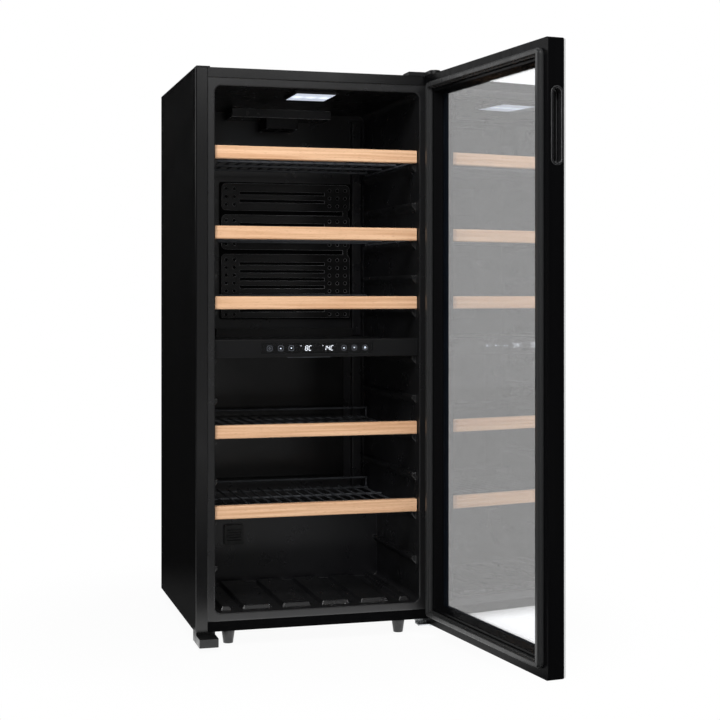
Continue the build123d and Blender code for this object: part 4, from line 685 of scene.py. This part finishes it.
display_low, display_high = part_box("led_displays")
readout_z = (display_low.z + display_high.z) / 2
bm = bmesh.new()
for centre, figures in ((-READOUT_X, " 8C"), (READOUT_X, "14C")):
    for index, figure in enumerate(figures):
        left = centre + (index - 1) * FIGURE_PITCH - FIGURE_WIDTH / 2
        for letter in LIT.get(figure, ""):
            x0, z0, x1, z1 = SEGMENTS[letter]
            ends = []
            for gx, gz in ((x0, z0), (x1, z1)):
                z = (gz / 2 - 0.5) * FIGURE_HEIGHT
                ends.append(Vector((left + gx * FIGURE_WIDTH + LEAN * z, readout_z + z)))
            trim = (ends[1] - ends[0]).normalized() * SEGMENT_TRIM
            outline = bar(ends[0] + trim, ends[1] - trim, SEGMENT_WIDTH, SEGMENT_WIDTH / 2)
            tile(bm, outline, display_low.y, LIT_RISE)
    dot_x, dot_z = centre - DOT_SHIFT, readout_z + FIGURE_HEIGHT / 2
    turns = [2 * pi * i / DOT_SIDES for i in range(DOT_SIDES)]
    dot = [(dot_x + DOT_RADIUS * cos(a), dot_z + DOT_RADIUS * sin(a)) for a in turns]
    tile(bm, dot, display_low.y, LIT_RISE)
readouts = piece("temperature_readouts", bm, lit_segment, "cabinet")
print("readouts:", len(readouts.data.polygons), "faces at y", round(display_low.y, 4))

# %% [markdown]
# ## Touch keys
# The six touch keys are only legends printed on the window: a faint ring or rounded square, and in
# it a sign that is lit from behind. Printed ink has a thickness, so each line is a low band. A
# circle and a rounded square come from one outline, which grows towards its corners.

# %% Key shapes and inks
KEY_POINTS = 40
INK_MOTTLE = 1.5 * MM


def ring(bm, outer, inner, face, rise):
    """Adds a low closed band between two outlines with the same number of points."""
    front = face - rise
    rows = [[bm.verts.new((x, y, z)) for x, z in line]
            for line, y in ((outer, face), (outer, front), (inner, front), (inner, face))]
    for row, above in zip(rows, rows[1:] + rows[:1]):
        for i in range(len(row)):
            j = (i + 1) % len(row)
            bm.faces.new((row[i], row[j], above[j], above[i]))


def key_outline(x, z, radius, squareness):
    """A circle at squareness 0, and a rounded square as it grows."""
    points = []
    for i in range(KEY_POINTS):
        a = 2 * pi * i / KEY_POINTS
        grow = 1 + squareness * (1 / max(abs(cos(a)), abs(sin(a))) - 1)
        points.append((x + radius * grow * cos(a), z + radius * grow * sin(a)))
    return points


def ink(name, shade, glow):
    """Screen-printed ink, mottled, with the light that comes through it."""
    made, tree, surface = start_finish(name, IOR=1.5, Roughness=0.5, Emission_Strength=glow,
                                       Emission_Color=colour("#DCE4F4"))
    spot = add(tree, "TexCoord").outputs["Object"]
    blot = add(tree, "TexNoise", {"Vector": spot, "Scale": 1 / INK_MOTTLE})
    hue = add(tree, "Mix", {"Factor": blot, "A": colour(shade), "B": colour("#1C1D20")},
              data_type="RGBA")
    join(surface, {"Base Color": hue})
    return made


# Screen-printed ink: one that the light hardly comes through, and one that it does.
faint_ink = ink("screen_printed_ink_faint", "#5A5E66", glow=0.19)
lit_ink = ink("screen_printed_ink_lit", "#C6CCD6", glow=1.9)
print("inks:", faint_ink.name, lit_ink.name)

# %% [markdown]
# The keys on the left are rounded squares and those on the right are rings. Two of each three have
# an arrow up or down, and the outermost has a small ring with a stem.

# %% Printed key legends
INK_RISE = 0.08 * MM
KEY_PLACES = (59 * MM, 82.5 * MM, 107 * MM)
KEY_RADIUS, KEY_LINE, KEY_SQUARENESS = 5.8 * MM, 0.5 * MM, 0.55
ARROW_HALF, ARROW_RISE = 2.0 * MM, 1.3 * MM
SIGN_OUTER, SIGN_INNER = 2.2 * MM, 1.6 * MM
STEM_LOW, STEM_HIGH, STEM_WIDTH, STEM_POINT = -0.4 * MM, 1.2 * MM, 0.7 * MM, 0.1 * MM

window_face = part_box("control_window")[0].y
frames, signs = bmesh.new(), bmesh.new()
for side in (-1, 1):
    squareness = KEY_SQUARENESS if side < 0 else 0.0
    for index, place in enumerate(KEY_PLACES):
        x, end_key = side * place, index == len(KEY_PLACES) - 1
        ring(frames, key_outline(x, readout_z, KEY_RADIUS, squareness),
             key_outline(x, readout_z, KEY_RADIUS - KEY_LINE, squareness), window_face, INK_RISE)
        if not end_key:
            up = ARROW_RISE if (index == 0) == (side > 0) else -ARROW_RISE
            tile(signs, [(x - ARROW_HALF, readout_z - up), (x, readout_z + up),
                         (x + ARROW_HALF, readout_z - up)], window_face, INK_RISE)
        else:
            target = frames if side < 0 else signs
            ring(target, key_outline(x, readout_z, SIGN_OUTER, 0),
                 key_outline(x, readout_z, SIGN_INNER, 0), window_face, INK_RISE)
            foot, tip = (x, readout_z + STEM_LOW), (x, readout_z + STEM_HIGH)
            tile(target, bar(foot, tip, STEM_WIDTH, STEM_POINT), window_face, INK_RISE)
key_frames = piece("touch_key_frames", frames, faint_ink, "cabinet")
key_signs = piece("touch_key_signs", signs, lit_ink, "cabinet")
print("keys:", len(key_frames.data.polygons), "and", len(key_signs.data.polygons), "faces")

# %% [markdown]
# ## Screws
# Pan-head screws with a cross recess hold the back, the grille, the lower hinge, the fan, the
# lower cooling plate and the wiring ducts. A head is a low dome spun in rings, and the cross is
# cut by joining the last ring to a cross-shaped outline that is then sunk. Each head is set down
# on its solid by a ray, so it sits on the surface whatever the panel's beads do.

# %% Screw heads
# Shares of the head's radius: the cross's arm and half its width, then the radius and height of
# each ring of the dome, then the height of the cross's floor and how much the cross narrows to it.
ARM, HALF = 0.5, 0.13
CROSS = [(x * c - y * s, x * s + y * c) for c, s in ((1, 0), (0, 1), (-1, 0), (0, -1))
         for x, y in ((ARM, -HALF), (ARM, HALF), (HALF, HALF))]
DOME = ((1.0, 0.0), (1.0, 0.18), (0.88, 0.42), (0.66, 0.56))
CROSS_SINK, CROSS_TAPER = 0.12, 0.8
RAY_START = 100 * MM  # how far off the surface a ray sets out


def screw(bm, foot, away, radius):
    """A pan head with a cross recess, standing on foot and facing away."""
    away = Vector(away).normalized()
    across = away.orthogonal().normalized()
    up = away.cross(across)

    def at(u, v, w):
        return bm.verts.new(foot + (across * u + up * v + away * w) * radius)

    count = 2 * len(CROSS)
    turns = [2 * pi * (i - 1) / count for i in range(count)]
    rows = [[at(r * cos(a), r * sin(a), h) for a in turns] for r, h in DOME]
    for row, above in zip(rows, rows[1:]):
        for i in range(count):
            j = (i + 1) % count
            bm.faces.new((row[i], row[j], above[j], above[i]))
    bm.faces.new(rows[0][::-1])
    top = rows[-1]
    rim = [at(u, v, DOME[-1][1]) for u, v in CROSS]
    sunk = [at(CROSS_TAPER * u, CROSS_TAPER * v, CROSS_SINK) for u, v in CROSS]
    for i in range(len(CROSS)):
        j = (i + 1) % len(CROSS)
        bm.faces.new((top[2 * i], top[2 * i + 1], top[2 * j], rim[j], rim[i]))
        bm.faces.new((rim[i], rim[j], sunk[j], sunk[i]))
    bm.faces.new(sunk)


def screws_on(name, node, places, away, radius, finish, body):
    """Screws set down on a solid at places in mm, each found by a ray that runs against away."""
    bm = bmesh.new()
    solid, away = frame["nodes"][node], Vector(away)
    for place in places:
        hit, foot, _, _ = solid.ray_cast(Vector(place) * MM + away * RAY_START, -away)
        if hit:
            screw(bm, foot, away, radius * MM)
        else:
            print("no surface for a screw of", name, "at", place)
    piece(name, bm, finish, body)
    print(name, len(places), "screws")


print("a cross has", len(CROSS), "corners")

# %% [markdown]
# The screws stand where a fitter would put them: along the edges of a sheet, at the corners of the
# fan and of the plate, and down the middle of a duct. Places are in millimetres, near the surface.

# %% Screws in their places
BACKWARD, FORWARD, DOWN = (0, 1, 0), (0, -1, 0), (0, 0, -1)
REAR_X, REAR_Y = 257, 252
BACK_HEIGHTS, GRILLE_HEIGHTS = (228, 560, 890, 1218), (46, 200)
HINGE_X, HINGE_Y, HINGE_Z = (230, 254), -222, 30
FAN_X, FAN_Y, FAN_Z = 35.5, (116.7, 187.7), 1150
PLATE_X, PLATE_Y, PLATE_HEIGHTS = 162, 185, (308, 592)
DUCT_X, DUCT_Y, DUCT_HEIGHTS = 207, 181, (262, 596, 668, 1170)

back_places = [(x, REAR_Y, z) for x in (-REAR_X, REAR_X) for z in BACK_HEIGHTS]
back_places.append((0, REAR_Y, BACK_HEIGHTS[-1]))
screws_on("back_panel_screws", "back_panel", back_places,
          away=BACKWARD, radius=4.0, finish=plated, body="cabinet")
screws_on("grille_screws", "bay_grille",
          [(x, REAR_Y, z) for x in (-REAR_X, REAR_X) for z in GRILLE_HEIGHTS],
          away=BACKWARD, radius=4.0, finish=plated, body="cabinet")
screws_on("lower_hinge_screws", "bottom_hinge_bracket", [(x, HINGE_Y, HINGE_Z) for x in HINGE_X],
          away=DOWN, radius=5.0, finish=plated, body="cabinet")
screws_on("fan_screws", "fan_frame", [(x, y, FAN_Z) for x in (-FAN_X, FAN_X) for y in FAN_Y],
          away=DOWN, radius=3.2, finish=plated, body="cabinet")
screws_on("cooling_plate_screws", "lower_evaporator",
          [(x, PLATE_Y, z) for x in (-PLATE_X, PLATE_X) for z in PLATE_HEIGHTS],
          away=FORWARD, radius=4.2, finish=epoxy_coat, body="cabinet")
screws_on("duct_screws", "wiring_ducts", [(DUCT_X, DUCT_Y, z) for z in DUCT_HEIGHTS],
          away=FORWARD, radius=3.0, finish=dark_plastic, body="cabinet")
